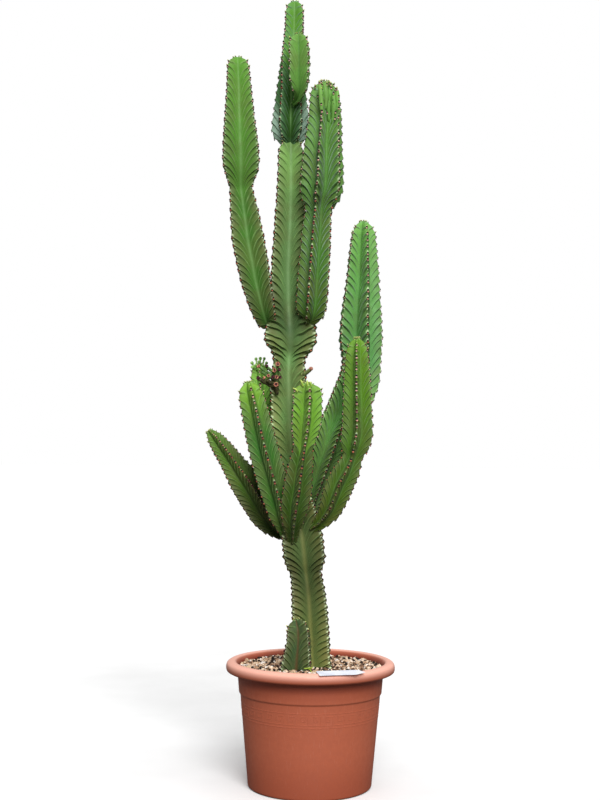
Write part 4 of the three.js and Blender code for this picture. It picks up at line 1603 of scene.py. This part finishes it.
@dataclass
class Plant(Part):
    """The trunk and its arms, each with the trim of its teeth."""

    def build(self) -> None:
        """Builds every stem, the trunk first."""
        tooth = ToothFinish().build("tooth_trim", self.effects)
        flushes = (self._skin("trunk_skin", "trunk", TRUNK_FLUSHES, TRUNK_FINISH),
                   self._skin("trunk_top_skin", "trunk", TRUNK_TOP, TOP_FINISH))
        self._trim("trunk", tooth, (flushes[0][0], TRUNK_FLUSHES), (flushes[1][0], TRUNK_TOP))
        inside = TrunkSpace(CentreLine(np.array(TRUNK_FLUSHES.line, float)), TRUNK_FLUSHES.girth)
        for name, shape in ARMS.items():
            grid, skin = self._skin(f"{name}_skin", name, shape, ARM_FINISHES[name])
            self._trim(name, tooth, (grid, shape), hidden=inside)
            if name == "upper_right_arm":
                CrownFolds(self.effects, self.maker).build(name, grid, skin, tooth)

    def _skin(self, name: str, slot: str, shape: StemShape, look: StemFinish) -> tuple[
            StemSurface, Material]:
        """Builds one skin, and gives its grid and its finish back.

        Args:
            name: the piece's name.
            slot: its slot, and the solid that it stands for.
            shape: the stem's shape.
            look: its finish.

        Returns:
            The grid and the material.
        """
        parts = MeshParts()
        grid = RibbedStem(shape).skin(parts)
        finish = look.build(name, self.effects)
        self.maker.keep(parts, name, finish, slot, slot)
        return grid, finish

    def _trim(self, slot: str, finish: Material, *grids: tuple[StemSurface, StemShape],
              hidden: TrunkSpace | None = None) -> None:
        """Builds the trim of one stem's teeth, whose draws follow from the piece's name.

        Args:
            slot: the stem's slot.
            finish: the trim's finish.
            grids: the stem's surfaces with their shapes.
            hidden: the space in which a tooth would not show, if there is one.
        """
        name = f"{slot}_teeth"
        trim = Armature(np.random.default_rng(len(name) * 7 + ord(name[0])))
        for grid, shape in grids:
            trim.cover(grid, shape, hidden)
        self.maker.keep(trim.parts, name, finish, slot)


@dataclass
class CrownFolds(Part):
    """The crowded tip of the upper right arm: upright pleats with teeth and leaves among them."""

    seed: int = 47
    pleats: tuple[tuple[float, float, float, float, float], ...] = (
        (8, 1398, 12, 1338, 5.2), (17, 1402, 20, 1350, 6.4), (24, 1376, 27, 1328, 5.6),
        (30, 1396, 27, 1362, 4.6), (36, 1378, 33, 1322, 5.8), (43, 1390, 44, 1346, 4.2))
    teeth: tuple[Pair, ...] = (
        (4, 1381), (11, 1358), (11, 1335), (23, 1343), (26, 1380), (35, 1368), (36, 1383),
        (37, 1360), (40, 1344), (39, 1331), (46, 1377), (47, 1366), (47, 1352))
    tufts: tuple[Pair, ...] = (
        (-1, 1400), (7, 1403), (11, 1405), (22, 1402), (27, 1405), (30, 1402), (31, 1395),
        (42, 1391))

    def build(self, slot: str, grid: StemSurface, skin: Material, tooth: Material) -> None:
        """Builds the pleats and their trim.

        Args:
            slot: the arm's slot.
            grid: the arm's finished surface.
            skin: the arm's finish.
            tooth: the trim's finish.
        """
        rng = np.random.default_rng(self.seed)
        folds, trim = MeshParts(), Armature(rng)
        for x, z, end_x, end_z, size in self.pleats:
            places = np.linspace(0, 1, 9)
            bow = 2.2 * math.sin(size * 9)
            line = np.array([self._seat(grid, x + (end_x - x) * t + bow * math.sin(math.pi * t),
                                        z + (end_z - z) * t) for t in places]) + [0, size * 0.45, 0]
            line[:, 1] = np.convolve(np.pad(line[:, 1], 2, mode="edge"), np.full(5, 0.2), "valid")
            radii = (size * (0.25 + 0.75 * np.sin(math.pi * (0.22 + 0.76 * places)))
                     * (1 + 0.12 * np.sin(places * 8 + x)))
            # Each pleat is painted 0.95 to 1.2 times as bright: painted light.
            folds.add(*tube(line, radii, 12), share=0.62, tooth=rng.uniform(0.1, 0.2), age=1.0,
                      bloom=rng.uniform(0.95, 1.2), flank=0.0)
        for k, (x, z) in enumerate((*self.teeth, *self.tufts)):
            at = self._seat(grid, x, z) + [0, -2.6, 0]
            outward = unit(np.array([(x - 19) / 34, -1.0, 0.5 if z > 1388 else 0.1]))
            across = unit(np.cross([0, 0, 1.0], outward))
            axes = np.stack([across, np.cross(outward, across), outward])
            trim.add_tooth(at, axes, 0.85, 0.95)
            if k >= len(self.teeth):
                trim.add_leaf(at + [0, 0, 0.6], axes, 1.1)
        self.maker.keep(folds, f"{slot}_pleats", skin, slot)
        self.maker.keep(trim.parts, f"{slot}_pleat_teeth", tooth, slot)

    @staticmethod
    def _seat(grid: StemSurface, x: float, z: float) -> Array:
        """The surface's foremost point at a place seen from the front.

        Args:
            grid: the arm's surface.
            x: how far right the place is.
            z: how high it is.

        Returns:
            The point.
        """
        points = grid.points.reshape(-1, 3)
        near = points[np.hypot((points[:, 0] - x) / 4, (points[:, 2] - z) / 7) < 1]
        if len(near) == 0:
            near = points[np.argsort(np.hypot(points[:, 0] - x, points[:, 2] - z))[:4]]
        return np.array([x, near[:, 1].min(), z])


@dataclass
class TipFingers(Part):
    """Small curved pale leaves at the tip of the front centre arm."""

    fingers: tuple[tuple[Point, Point, float], ...] = (
        ((-20, -90, 796), (-25, -92, 808), 2.2), ((-31, -97, 785), (-38, -100, 791), 2.0),
        ((-11, -92, 794), (-12, -93, 807), 2.5), ((-4, -88, 796), (-7, -90, 805), 1.9))

    def build(self) -> None:
        """Builds the leaves."""
        finish = self.soft("tip_fingers", (206, 226, 116), (150, 186, 66), 0.5, 260.0)
        parts = MeshParts()
        for start, end, size in self.fingers:
            root, tip = np.array(start, float), np.array(end, float)
            line = CentreLine(np.array([root, (root + tip) / 2 + [0, -1.5, 1.0], tip]))
            places = np.linspace(0, 1, 10)
            parts.add(*tube(line.at(places * line.length), size * (1 - 0.45 * places ** 2), 10))
        self.maker.keep(parts, "front_center_arm_fingers", finish, "front_center_arm")


@dataclass
class Pot(Part):
    """The nursery pot: body, step, collar, rolled rim, floor with drain holes, and its key band."""

    sides: int = 160
    outside: tuple[Pair, ...] = (
        (106, 0), (120.2, 0), (123.1, 1.1), (124.1, 3.6), (124.6, 9), (140.6, 183), (143.4, 186),
        (146.6, 224), (149.6, 242.3), (165, 242.3), (163, 228))
    rim: tuple[Pair, ...] = (
        (164.4, 226.8), (168.9, 229.2), (170, 236.6), (168.4, 243.8), (161.6, 248.0), (153, 248.3),
        (147.8, 244.2))
    inside: tuple[Pair, ...] = ((144.4, 235.3), (137.6, 183), (121.5, 3.2), (106, 3.2))
    band: Pair = (141, 168)
    repeats: int = 36
    line_width: float = 1.7
    line_rise: float = 0.34
    holes: int = 8
    hole_circle: float = 92
    hole_radius: float = 7
    floor_top: float = 3.2

    def build(self) -> None:
        """Builds the shell with its band."""
        finish = PotFinish().build("terracotta_plastic", self.effects)
        shell = MeshParts()
        lower = rounded(list(self.outside), 1.6)
        over = rounded(list(self.rim) + [self.inside[0]], 3.0)
        inner = rounded(list(self.inside), 3.0)
        profile = np.vstack([lower, over, inner[1:]])
        points, faces = lathe(self._divided(profile), self.sides)
        shell.add(points, [faces])
        self._floor(shell)
        self.maker.keep(shell, "pot_shell", finish, "pot", "pot")
        band = MeshParts()
        for k in range(self.repeats):
            self._key(band, k)
        self.maker.keep(band, "pot_key_band", finish, "pot", is_smooth=False)

    def _floor(self, shell: MeshParts) -> None:
        """Adds the floor: its middle, and one panel round each drain hole, with the hole's wall.

        Args:
            shell: the pot's mesh.
        """
        outer = self.outside[0][0]
        inner = 2 * self.hole_circle - outer
        for height, is_top in ((0.0, False), (self.floor_top, True)):
            disc, quads = lathe(np.array([(inner * share, height) for share in (0.25, 0.5, 1)]),
                                self.sides)
            fan = fan_faces(0, self.sides, len(disc), is_top)
            shell.add(np.vstack([disc, [0, 0, height]]), [quads[:, ::-1] if is_top else quads, fan])
        half_turn = math.pi / self.holes
        arc = np.linspace(half_turn, -half_turn, self.sides // self.holes, endpoint=False)
        way_in = np.linspace(outer, inner, 6, endpoint=False)
        turns = np.concatenate([arc, 0 * way_in - half_turn, -arc, 0 * way_in + half_turn])
        radii = np.concatenate([0 * arc + outer, way_in, 0 * arc + inner, outer + inner - way_in])
        for k in range(self.holes):
            turn = (2 * k + 1) * half_turn
            middle = self.hole_circle * np.array([math.cos(turn), math.sin(turn)])
            edge = np.stack([radii * np.cos(turn + turns), radii * np.sin(turn + turns)], axis=-1)
            hole = middle + self.hole_radius * unit(edge - middle)
            rows = [at_height(edge, 0.0), at_height(hole, 0.0), at_height(hole, self.floor_top),
                    at_height(edge, self.floor_top)]
            shell.add(np.vstack(rows), [grid_faces(4, len(turns))])

    @staticmethod
    def _divided(profile: Array, longest: float = 14.0) -> Array:
        """The outline with its long stretches cut into shorter ones.

        Args:
            profile: the outline.
            longest: how long a stretch may stay.

        Returns:
            The outline with more points.
        """
        result = [profile[0]]
        for start, end in zip(profile[:-1], profile[1:]):
            pieces = max(1, int(np.linalg.norm(end - start) // longest))
            result += [start + (end - start) * (i + 1) / pieces for i in range(pieces)]
        return np.array(result)

    def _radius(self, height: float) -> float:
        """The body's outside radius at a height."""
        return float(np.interp(height, [8, 183], [124.5, 140.6]))

    def _key(self, band: MeshParts, repeat: int) -> None:
        """Adds one repeat of the raised key pattern: two border lines and a hooked line.

        Args:
            band: the band's mesh.
            repeat: which repeat it is.
        """
        width = 2 * math.pi / self.repeats
        hook = [(0.0, 0.2), (0.8, 0.2), (0.8, 0.8), (0.24, 0.8), (0.24, 0.46), (0.52, 0.46),
                (0.52, 0.6)]
        lines = [[(0.0, 0.0), (1.0, 0.0)], [(0.0, 1.0), (1.0, 1.0)], hook, [(0.8, 0.2), (1.0, 0.2)]]
        for line in lines:
            for start, end in zip(line[:-1], line[1:]):
                self._bar(band, np.array(start), np.array(end), repeat * width, width)

    def _bar(self, band: MeshParts, start: Array, end: Array, turn: float, width: float) -> None:
        """Adds one raised bar of the pattern, bent round the body.

        Args:
            band: the band's mesh.
            start: one end, as shares of the repeat's width and height.
            end: the other end, the same way.
            turn: where the repeat starts, in radians.
            width: how wide it is, in radians.
        """
        low = self.band[0]
        height = self.band[1] - low
        half_up = self.line_width / 2 / height
        half_round = self.line_width / 2 / (self._radius(low) * width)
        corner_low = np.minimum(start, end) - [half_round, half_up]
        corner_high = np.maximum(start, end) + [half_round, half_up]
        steps = max(1, int((corner_high[0] - corner_low[0]) / 0.15))
        across = np.linspace(corner_low[0], corner_high[0], steps + 1)
        rows = []
        for inset, rise in ((0.0, -0.3), (0.0, 0.15), (0.3, 1.0)):
            for way in (0, 1):
                up = corner_high[1] - inset * half_up if way else corner_low[1] + inset * half_up
                z = low + up * height
                squeeze = np.clip(across, corner_low[0] + inset * half_round,
                                  corner_high[0] - inset * half_round)
                radius = self._radius(z) + self.line_rise * rise
                angle = turn + squeeze * width
                ring = np.stack([radius * np.cos(angle), radius * np.sin(angle)], axis=-1)
                rows.append(at_height(ring, z))
        count = steps + 1
        faces = grid_faces(7, count, False) % (6 * count)
        ends = np.array([[0, 1, 4, 5], [1, 2, 3, 4]]) * count
        far = np.array([[5, 4, 1, 0], [4, 3, 2, 1]]) * count + steps
        band.add(np.vstack([rows[i] for i in (0, 2, 4, 5, 3, 1)]), [faces, far, ends])


@dataclass
class GrowingMix(Part):
    """The coarse mix: the root ball under a layer of loose grains and bark chips."""

    top: float = 234.6
    edge: float = 143.6
    grains: int = 3000
    chips: int = 170
    small: Pair = (1.9, 4.0)
    large: Pair = (4.0, 5.8)
    small_share: float = 0.75
    chip_spans: tuple[Pair, Pair, Pair] = ((4, 7), (1.8, 3), (0.8, 1.4))
    roughness: float = 0.2
    sides: int = 96
    rings: int = 30
    seed: int = 11
    wall: tuple[Pair, ...] = ((0.5, 3.6), (121.1, 3.6), (137.2, 183), (144.0, 233.0))
    tones: tuple[tuple[float, Colour], ...] = (
        (0.0, (44, 32, 26)), (0.24, (126, 94, 72)), (0.38, (190, 152, 122)),
        (0.55, (226, 194, 160)), (0.76, (246, 218, 190)), (0.9, (254, 244, 234)))

    def build(self) -> None:
        """Builds the root ball and its grains."""
        stone = StoneFinish(self.tones).build("mix_grains", self.effects)
        soil = self.soft("mix_soil", (70, 54, 40), (32, 23, 17), 0.9, 130.0, 0.8)
        parts = MeshParts()
        rng = np.random.default_rng(self.seed)
        inward = np.linspace(self.edge, 2, self.rings)
        top = np.stack([inward, self.top + rng.uniform(-0.8, 0.8, self.rings)], axis=-1)
        profile = np.vstack([np.array(self.wall), top])
        rings, _ = lathe(profile, self.sides)
        parts.add(*closed(rings, self.sides, [0, 0, profile[0, 1]], [0, 0, profile[-1, 1]]))
        self.maker.keep(parts, "mix_root_ball", soil, "growing_mix", "growing_mix")
        loose = MeshParts()
        self._scatter(loose, rng)
        self.maker.keep(loose, "mix_loose_grains", stone, "growing_mix", is_smooth=False)

    def _scatter(self, loose: MeshParts, rng: np.random.Generator) -> None:
        """Lays the grains, each a small broken stone, and the bark chips among them.

        Args:
            loose: the grains' mesh.
            rng: the draws.
        """
        body, faces = ball(2)
        for i in range(self.grains + self.chips):
            radius = (self.edge - 3.0) * math.sqrt(rng.random())
            angle = rng.uniform(0, 2 * math.pi)
            is_chip = i >= self.grains
            size = rng.uniform(*(self.small if rng.random() < self.small_share else self.large))
            stretch = rng.uniform(0.65, 1.2, 3) * size
            if is_chip:
                stretch = np.array([rng.uniform(*span) for span in self.chip_spans])
            rough = body * (1 + rng.uniform(-self.roughness, self.roughness, (len(body), 1)))
            spin = ((rng.uniform(0, 6.28), "Z"), (rng.normal(0, 0.5), "X"))
            place = np.array([radius * math.cos(angle), radius * math.sin(angle),
                              self.top + rng.uniform(-0.6, 1.7) + (0.8 if is_chip else 0)])
            draw = rng.uniform(0.02, 0.3) if is_chip else rng.random()
            loose.add(place + turned(rough * stretch, *spin), [faces], draw=draw)


@dataclass
class Label(Part):
    """The plain white label: a thin flat strip with a pointed end."""

    outline: tuple[Pair, ...] = ((0, 0), (72, 0), (93, 11), (80, 25), (-1, 25))
    thickness: float = 0.8
    corner: Point = (15.5, -172, 246.7)
    turn: float = 13.0
    tilt: float = 9.5
    inset: float = 0.25
    bevel: float = 0.12

    def build(self) -> None:
        """Builds the strip with softened corners and edges."""
        finish = self.soft("label_plastic", (240, 243, 250), (214, 218, 232), 0.35, 34.0, 0.08)
        corners = [*self.outline, self.outline[0], self.outline[1]]
        ring = rounded([tuple(c) for c in corners], 2.0)[1:-1]
        middle = ring.mean(axis=0)
        rows = []
        for inset, height in ((self.inset, 0.0), (0.0, self.bevel),
                              (0.0, self.thickness - self.bevel), (self.inset, self.thickness)):
            rows.append(at_height(ring + unit(middle - ring) * inset, height))
        points, faces = closed(np.vstack(rows), len(ring), np.append(middle, 0.0),
                               np.append(middle, self.thickness))
        laid = turned(points, (math.radians(self.turn), "Z"), (math.radians(self.tilt), "X"))
        parts = MeshParts()
        parts.add(laid + np.array(self.corner), faces)
        self.maker.keep(parts, "plant_label_strip", finish, "plant_label", "plant_label",
                        is_smooth=False)


@dataclass
class BudCrown(Part):
    """Round green flower buds on thin stalks at the tip of the back left arm."""

    foot: Point = (-111, 45, 838)
    heads: tuple[Point, ...] = (
        (-118, 48, 860), (-109, 46, 861), (-101, 48, 861), (-126, 40, 851), (-111, 33, 853),
        (-96, 40, 851), (-125, 36, 842), (-104, 34, 846), (-117, 30, 846))
    radius: float = 3.5
    stalk: float = 1.9

    def build(self) -> None:
        """Builds the buds, each a lobed knob on its stalk."""
        finish = self.soft("bud_green", (208, 244, 152), (132, 204, 84), 0.5, 300.0)
        parts = MeshParts()
        middle = np.array(self.foot, float)
        for k, place in enumerate(self.heads):
            head = np.array(place, float)
            self._bud(parts, middle + (head - middle) * [0.45, 0.45, 0.0], head, k)
        self.maker.keep(parts, "bud_crown", finish, "back_left_arm")

    def _bud(self, parts: MeshParts, foot: Array, head: Array, k: int) -> None:
        """Adds one bud on its stalk.

        Args:
            parts: the buds' mesh.
            foot: where its stalk starts.
            head: the knob's place.
            k: its number, which varies its lobes.
        """
        way = unit(head - foot)
        ends = np.array([foot + (head - foot) * t for t in (0, 0.3, 0.6, 0.95)])
        parts.add(*tube(ends, np.array([2.0, 1.2, 0.9, 1.0]) * self.stalk, 8))
        body, triangles = ball(3)
        angle = np.arctan2(body[:, 1], body[:, 0])
        lobes = 1 + 0.07 * np.cos(5 * angle + k) * (1 - body[:, 2] ** 2)
        dimple = 1 - 0.22 * np.exp(-((1 - body[:, 2]) / 0.12) ** 2)
        scale = self.radius * np.array([0.92, 0.92, 1.08]) * (1 + 0.08 * math.sin(k * 2.4))
        knob = body * (lobes * dimple)[:, None] * scale
        parts.add(head + aimed(knob, way), [triangles])


@dataclass(frozen=True)
class Twig:
    """One stalk of the flower spray: its ends, its radii there, and whether it is barked."""

    start: Point
    end: Point
    radii: Pair
    is_barked: bool = False


@dataclass(frozen=True)
class Cup:
    """One spent flower: its place, the way it looks, its radius, and whether it is withered."""

    place: Point
    aim: Point
    radius: float = 3.8
    is_dark: bool = False


@dataclass
class FlowerSpray(Part):
    """Spent flower cups on stout green stalks, on the left rib of the trunk."""

    knob: Point = (-77, -36, 812)
    knob_size: Point = (8, 7, 19)
    profile: Table = ((0.55, 0.1), (0.85, 0.5), (1.0, 0.85), (0.96, 1.0), (0.8, 1.02), (0.62, 0.85),
                      (0.5, 0.55), (0.3, 0.45))
    depth: float = 5.0
    twigs: tuple[Twig, ...] = (
        Twig((-76, -40, 817), (-106, -50, 836), (4.4, 3.0)),
        Twig((-76, -38, 826), (-93, -47, 837), (4.0, 2.8)),
        Twig((-78, -44, 813), (-102, -53, 826), (4.2, 2.6)),
        Twig((-76, -38, 800), (-110, -50, 813), (6.6, 3.8), True),
        Twig((-78, -40, 803), (-92, -54, 810), (5.0, 3.2), True),
        Twig((-72, -38, 822), (-71, -49, 841), (3.6, 3.0)),
        Twig((-72, -38, 818), (-78, -50, 829), (3.4, 3.0)),
        Twig((-74, -38, 806), (-74, -52, 803), (5.0, 3.6)),
        Twig((-72, -36, 784), (-75, -42, 806), (3.4, 7.0), True))
    cups: tuple[Cup, ...] = (
        Cup((-71, -52, 842), (0.1, -0.9, 0.35), 4.7), Cup((-77, -54, 829), (-0.5, -0.8, 0.1), 4.2),
        Cup((-74, -57, 801), (0.1, -0.95, -0.2), 4.8),
        Cup((-68, -50, 831), (0.6, -0.7, 0.2), 3.6, True),
        Cup((-80, -55, 816), (-0.3, -0.9, 0.0), 4.0, True),
        Cup((-73, -55, 816), (0.3, -0.9, 0.1), 3.8), Cup((-109, -53, 837), (-0.5, -0.6, 0.5), 3.8),
        Cup((-110, -53, 814), (-0.7, -0.7, 0.1), 4.0, True),
        Cup((-98, -58, 814), (-0.9, -0.3, -0.3), 3.2), Cup((-89, -58, 818), (-0.1, -0.9, 0.3), 3.4),
        Cup((-93, -51, 838), (0.1, -0.6, 0.7), 3.4, True),
        Cup((-66, -46, 816), (0.8, -0.5, 0.1), 3.2, True))

    def build(self) -> None:
        """Builds the stalks with their knob, and the cups."""
        green = self.soft("spray_stalks", (106, 150, 74), (64, 92, 44), 0.6, 160.0, 0.4)
        bark = self.soft("spray_bark", (96, 94, 54), (40, 36, 26), 0.8, 210.0, 0.8)
        cup = self.soft("spray_cups", (214, 144, 118), (140, 76, 62), 0.7, 330.0, 0.5)
        dark = self.soft("spray_withered", (92, 38, 46), (44, 18, 28), 0.6, 330.0, 0.5)
        stalks, barked, cups, hearts = (MeshParts() for _ in range(4))
        body, triangles = ball(4)
        bumps = (1 + 0.1 * np.sin(body @ np.array([7.0, 5.0, 9.0]))
                 + 0.06 * np.sin(body @ np.array([-13.0, 17.0, 6.0])))
        barked.add(np.array(self.knob) + body * bumps[:, None] * self.knob_size, [triangles])
        for k, twig in enumerate(self.twigs):
            self._twig(barked if twig.is_barked else stalks, twig, k)
        for k, flower in enumerate(self.cups):
            self._flower(hearts if flower.is_dark else cups, hearts, flower, k)
        slot = "flower_spray"
        self.maker.keep(stalks, "flower_spray_stalks", green, slot, slot)
        self.maker.keep(barked, "flower_spray_bark", bark, slot)
        self.maker.keep(cups, "flower_spray_cups", cup, slot)
        self.maker.keep(hearts, "flower_spray_hearts", dark, slot)

    @staticmethod
    def _twig(parts: MeshParts, twig: Twig, k: int) -> None:
        """Adds one knotty stalk.

        Args:
            parts: the mesh that it goes into.
            twig: the stalk.
            k: its number, which places its knots.
        """
        start, end = np.array(twig.start, float), np.array(twig.end, float)
        line = CentreLine(np.array([start, (start + end) / 2 + [0, 0, -1.6], end]))
        places = np.linspace(0, 1, 12)
        knots = (0.12 if twig.is_barked else 0.05) * np.sin(places * 17 + k)
        radii = np.interp(places, [0, 1], twig.radii) * (1 + knots)
        parts.add(*tube(line.at(places * line.length), radii, 10))

    def _flower(self, shells: MeshParts, hearts: MeshParts, flower: Cup, k: int) -> None:
        """Adds one cup with its rolled lip and its dark heart.

        Args:
            shells: the mesh for its cup.
            hearts: the mesh for its heart.
            flower: the flower.
            k: its number, which varies its lip.
        """
        r, d = flower.radius, self.depth
        shell, quads = lathe(np.array([(0.5, 0), *((r * x, d * z) for x, z in self.profile)]), 20)
        angle = np.arctan2(shell[:, 1], shell[:, 0])
        shell[:, :2] *= (1 + 0.09 * np.cos(5 * angle + k))[:, None]
        shell[:, 2] += 0.5 * np.cos(5 * angle + k) * shell[:, 2] / d
        way = unit(np.array(flower.aim, float))
        base = np.array(flower.place, float) - way * d * 0.7
        shells.add(base + aimed(shell, way), [quads])
        body, triangles = ball(3)
        heart = body * np.array([0.55 * r, 0.55 * r, 0.28 * d]) + [0, 0, 0.55 * d]
        hearts.add(base + aimed(heart, way), [triangles])


@dataclass
class OldStalk(Part):
    """The stub of a spent flower stalk on the right rib of the trunk."""

    root: Point = (-22, -27, 823)
    tip: Point = (-5, -40, 833.5)
    radii: Pair = (5.0, 3.8)

    def build(self) -> None:
        """Builds the stub, ringed and broken at its tip."""
        finish = self.soft("old_stalk", (140, 158, 92), (92, 100, 54), 0.8, 180.0, 0.6)
        scar = self.soft("old_stalk_scar", (196, 134, 112), (136, 84, 66), 0.8, 300.0, 0.6)
        root, tip = np.array(self.root, float), np.array(self.tip, float)
        places = np.linspace(0, 1, 12)
        radii = np.interp(places, [0, 1], self.radii) * (1 + 0.07 * np.sin(places * 25))
        line = root + (tip - root) * places[:, None]
        line[:, 2] -= 1.5 * np.sin(places * math.pi)
        parts = MeshParts()
        parts.add(*tube(line, radii, 14))
        self.maker.keep(parts, "old_stalk_stub", finish, "old_flower_stalk", "old_flower_stalk")
        end = MeshParts()
        body, triangles = ball(3)
        bumps = 1 + 0.08 * np.sin(body @ np.array([9.0, 7.0, 11.0]))
        scab = body * bumps[:, None] * (self.radii[1] * 1.12)
        end.add(tip + unit(tip - root) * 0.8 + scab, [triangles])
        self.maker.keep(end, "old_stalk_scar", scar, "old_flower_stalk")


@dataclass
class Seedling(Part):
    """One tiny seedling in the mix beside the label."""

    stem: tuple[Point, ...] = ((2, -78, 226), (1, -78, 236), (-1, -78, 242), (-6, -78, 244.5))
    radius: float = 0.9
    leaves: tuple[tuple[Point, float], ...] = (((-9, -79, 244.6), 20), ((-1, -76, 245.2), 200))
    leaf_size: Point = (5.5, 3.4, 0.9)

    def build(self) -> None:
        """Builds the shoot and its two cupped leaves."""
        finish = self.soft("seedling_green", (190, 214, 84), (134, 168, 44), 0.5, 240.0)
        parts = MeshParts()
        line = CentreLine(np.array(self.stem, float))
        parts.add(*tube(line.at(np.linspace(0, line.length, 14)), np.full(14, self.radius), 8))
        body, triangles = ball(4)
        for place, turn in self.leaves:
            leaf = body * np.array(self.leaf_size)
            leaf[:, 2] += 0.9 * (leaf[:, 0] / self.leaf_size[0]) ** 2
            parts.add(np.array(place) + turned(leaf, (math.radians(turn), "Z")), [triangles])
        self.maker.keep(parts, "seedling_shoot", finish, "seedling", "seedling")


@dataclass
class Studio:
    """A plain pale floor, soft light, and the camera at the photograph's angle."""

    effects: Effects
    eye: Point = (-0.0259, -2.5, 0.653)
    pitch: float = 0.048
    roll: float = 0.009
    focal_pixels: float = 1228.6
    frame_height: float = 800.0
    film: float = 36.0
    sky_light: float = 0.42
    floor_height: float = -0.4
    floor_rings: tuple[float, ...] = (90000.0, 6000.0, 600.0, 1.0)

    def build(self) -> None:
        """Sets up the floor, the lights, the sky and the camera."""
        self._floor()
        self._sky()
        self._light("front_light", (0.2, -1.0, 0.72), 2.7, 32)
        self._light("top_light", (0.1, -0.35, 1.0), 0.9, 60)
        self._camera()
        view = bpy.context.scene.view_settings
        view.view_transform = "Standard"
        view.look = "None"

    def _floor(self) -> None:
        """Lays the floor, a wide disc."""
        finish = PaperFinish().build("floor_paper", self.effects)
        parts = MeshParts()
        profile = np.array([(reach, self.floor_height) for reach in self.floor_rings])
        points, faces = lathe(profile, 64)
        parts.add(points, [faces])
        parts.build("floor", finish, True)

    def _sky(self) -> None:
        """A white surround, dimmer as a light than it looks."""
        world = bpy.data.worlds.new("surround")
        bpy.context.scene.world = world
        world.use_nodes = True
        sheet = Sheet(world.node_tree)
        lit = world.node_tree.nodes["Background"]
        seen = sheet.node("LightPath")["Is Camera Ray"]
        sheet.put(lit.inputs["Color"], (1.0, 1.0, 1.0, 1.0))
        sheet.put(lit.inputs["Strength"], sheet.ramp(seen, 0.0, 1.0, self.sky_light, 1.0))

    @staticmethod
    def _light(name: str, source: Point, strength: float, softness: float) -> None:
        """Hangs one wide soft light.

        Args:
            name: its name.
            source: the direction that it comes from.
            strength: how strong it is.
            softness: how wide it looks, in degrees.
        """
        lamp = bpy.data.lights.new(name, "SUN")
        lamp.energy = strength
        lamp.angle = math.radians(softness)
        holder = bpy.data.objects.new(name, lamp)
        holder.location = source
        holder.rotation_euler = (-Vector(source)).to_track_quat("-Z", "Y").to_euler()
        bpy.context.scene.collection.objects.link(holder)

    def _camera(self) -> None:
        """Places the camera."""
        lens = bpy.data.cameras.new("camera")
        lens.sensor_fit = "AUTO"
        lens.sensor_width = self.film
        lens.lens = self.focal_pixels * self.film / self.frame_height
        lens.clip_end = 200
        holder = bpy.data.objects.new("camera", lens)
        right, up = Vector((1, 0, 0)), Vector((0, -math.sin(self.pitch), math.cos(self.pitch)))
        across = right * math.cos(self.roll) + up * math.sin(self.roll)
        over = up * math.cos(self.roll) - right * math.sin(self.roll)
        away = across.cross(over)
        axes = Matrix((across, over, away)).transposed().to_4x4()
        holder.matrix_world = Matrix.Translation(Vector(self.eye)) @ axes
        bpy.context.scene.collection.objects.link(holder)
        bpy.context.scene.camera = holder


def main() -> None:
    """Builds the plant, its pot and its surroundings in order."""
    logging.basicConfig(level=logging.INFO, format="%(message)s")
    effects = Effects()
    maker = Maker()
    Plant(effects, maker).build()
    Pot(effects, maker).build()
    for piece in (TipFingers, GrowingMix, Label, BudCrown, FlowerSpray, OldStalk, Seedling):
        piece(effects, maker).build()
    Studio(effects).build()
    LOG.info("%d pieces", len(maker.made))


if __name__ == "__main__":
    main()
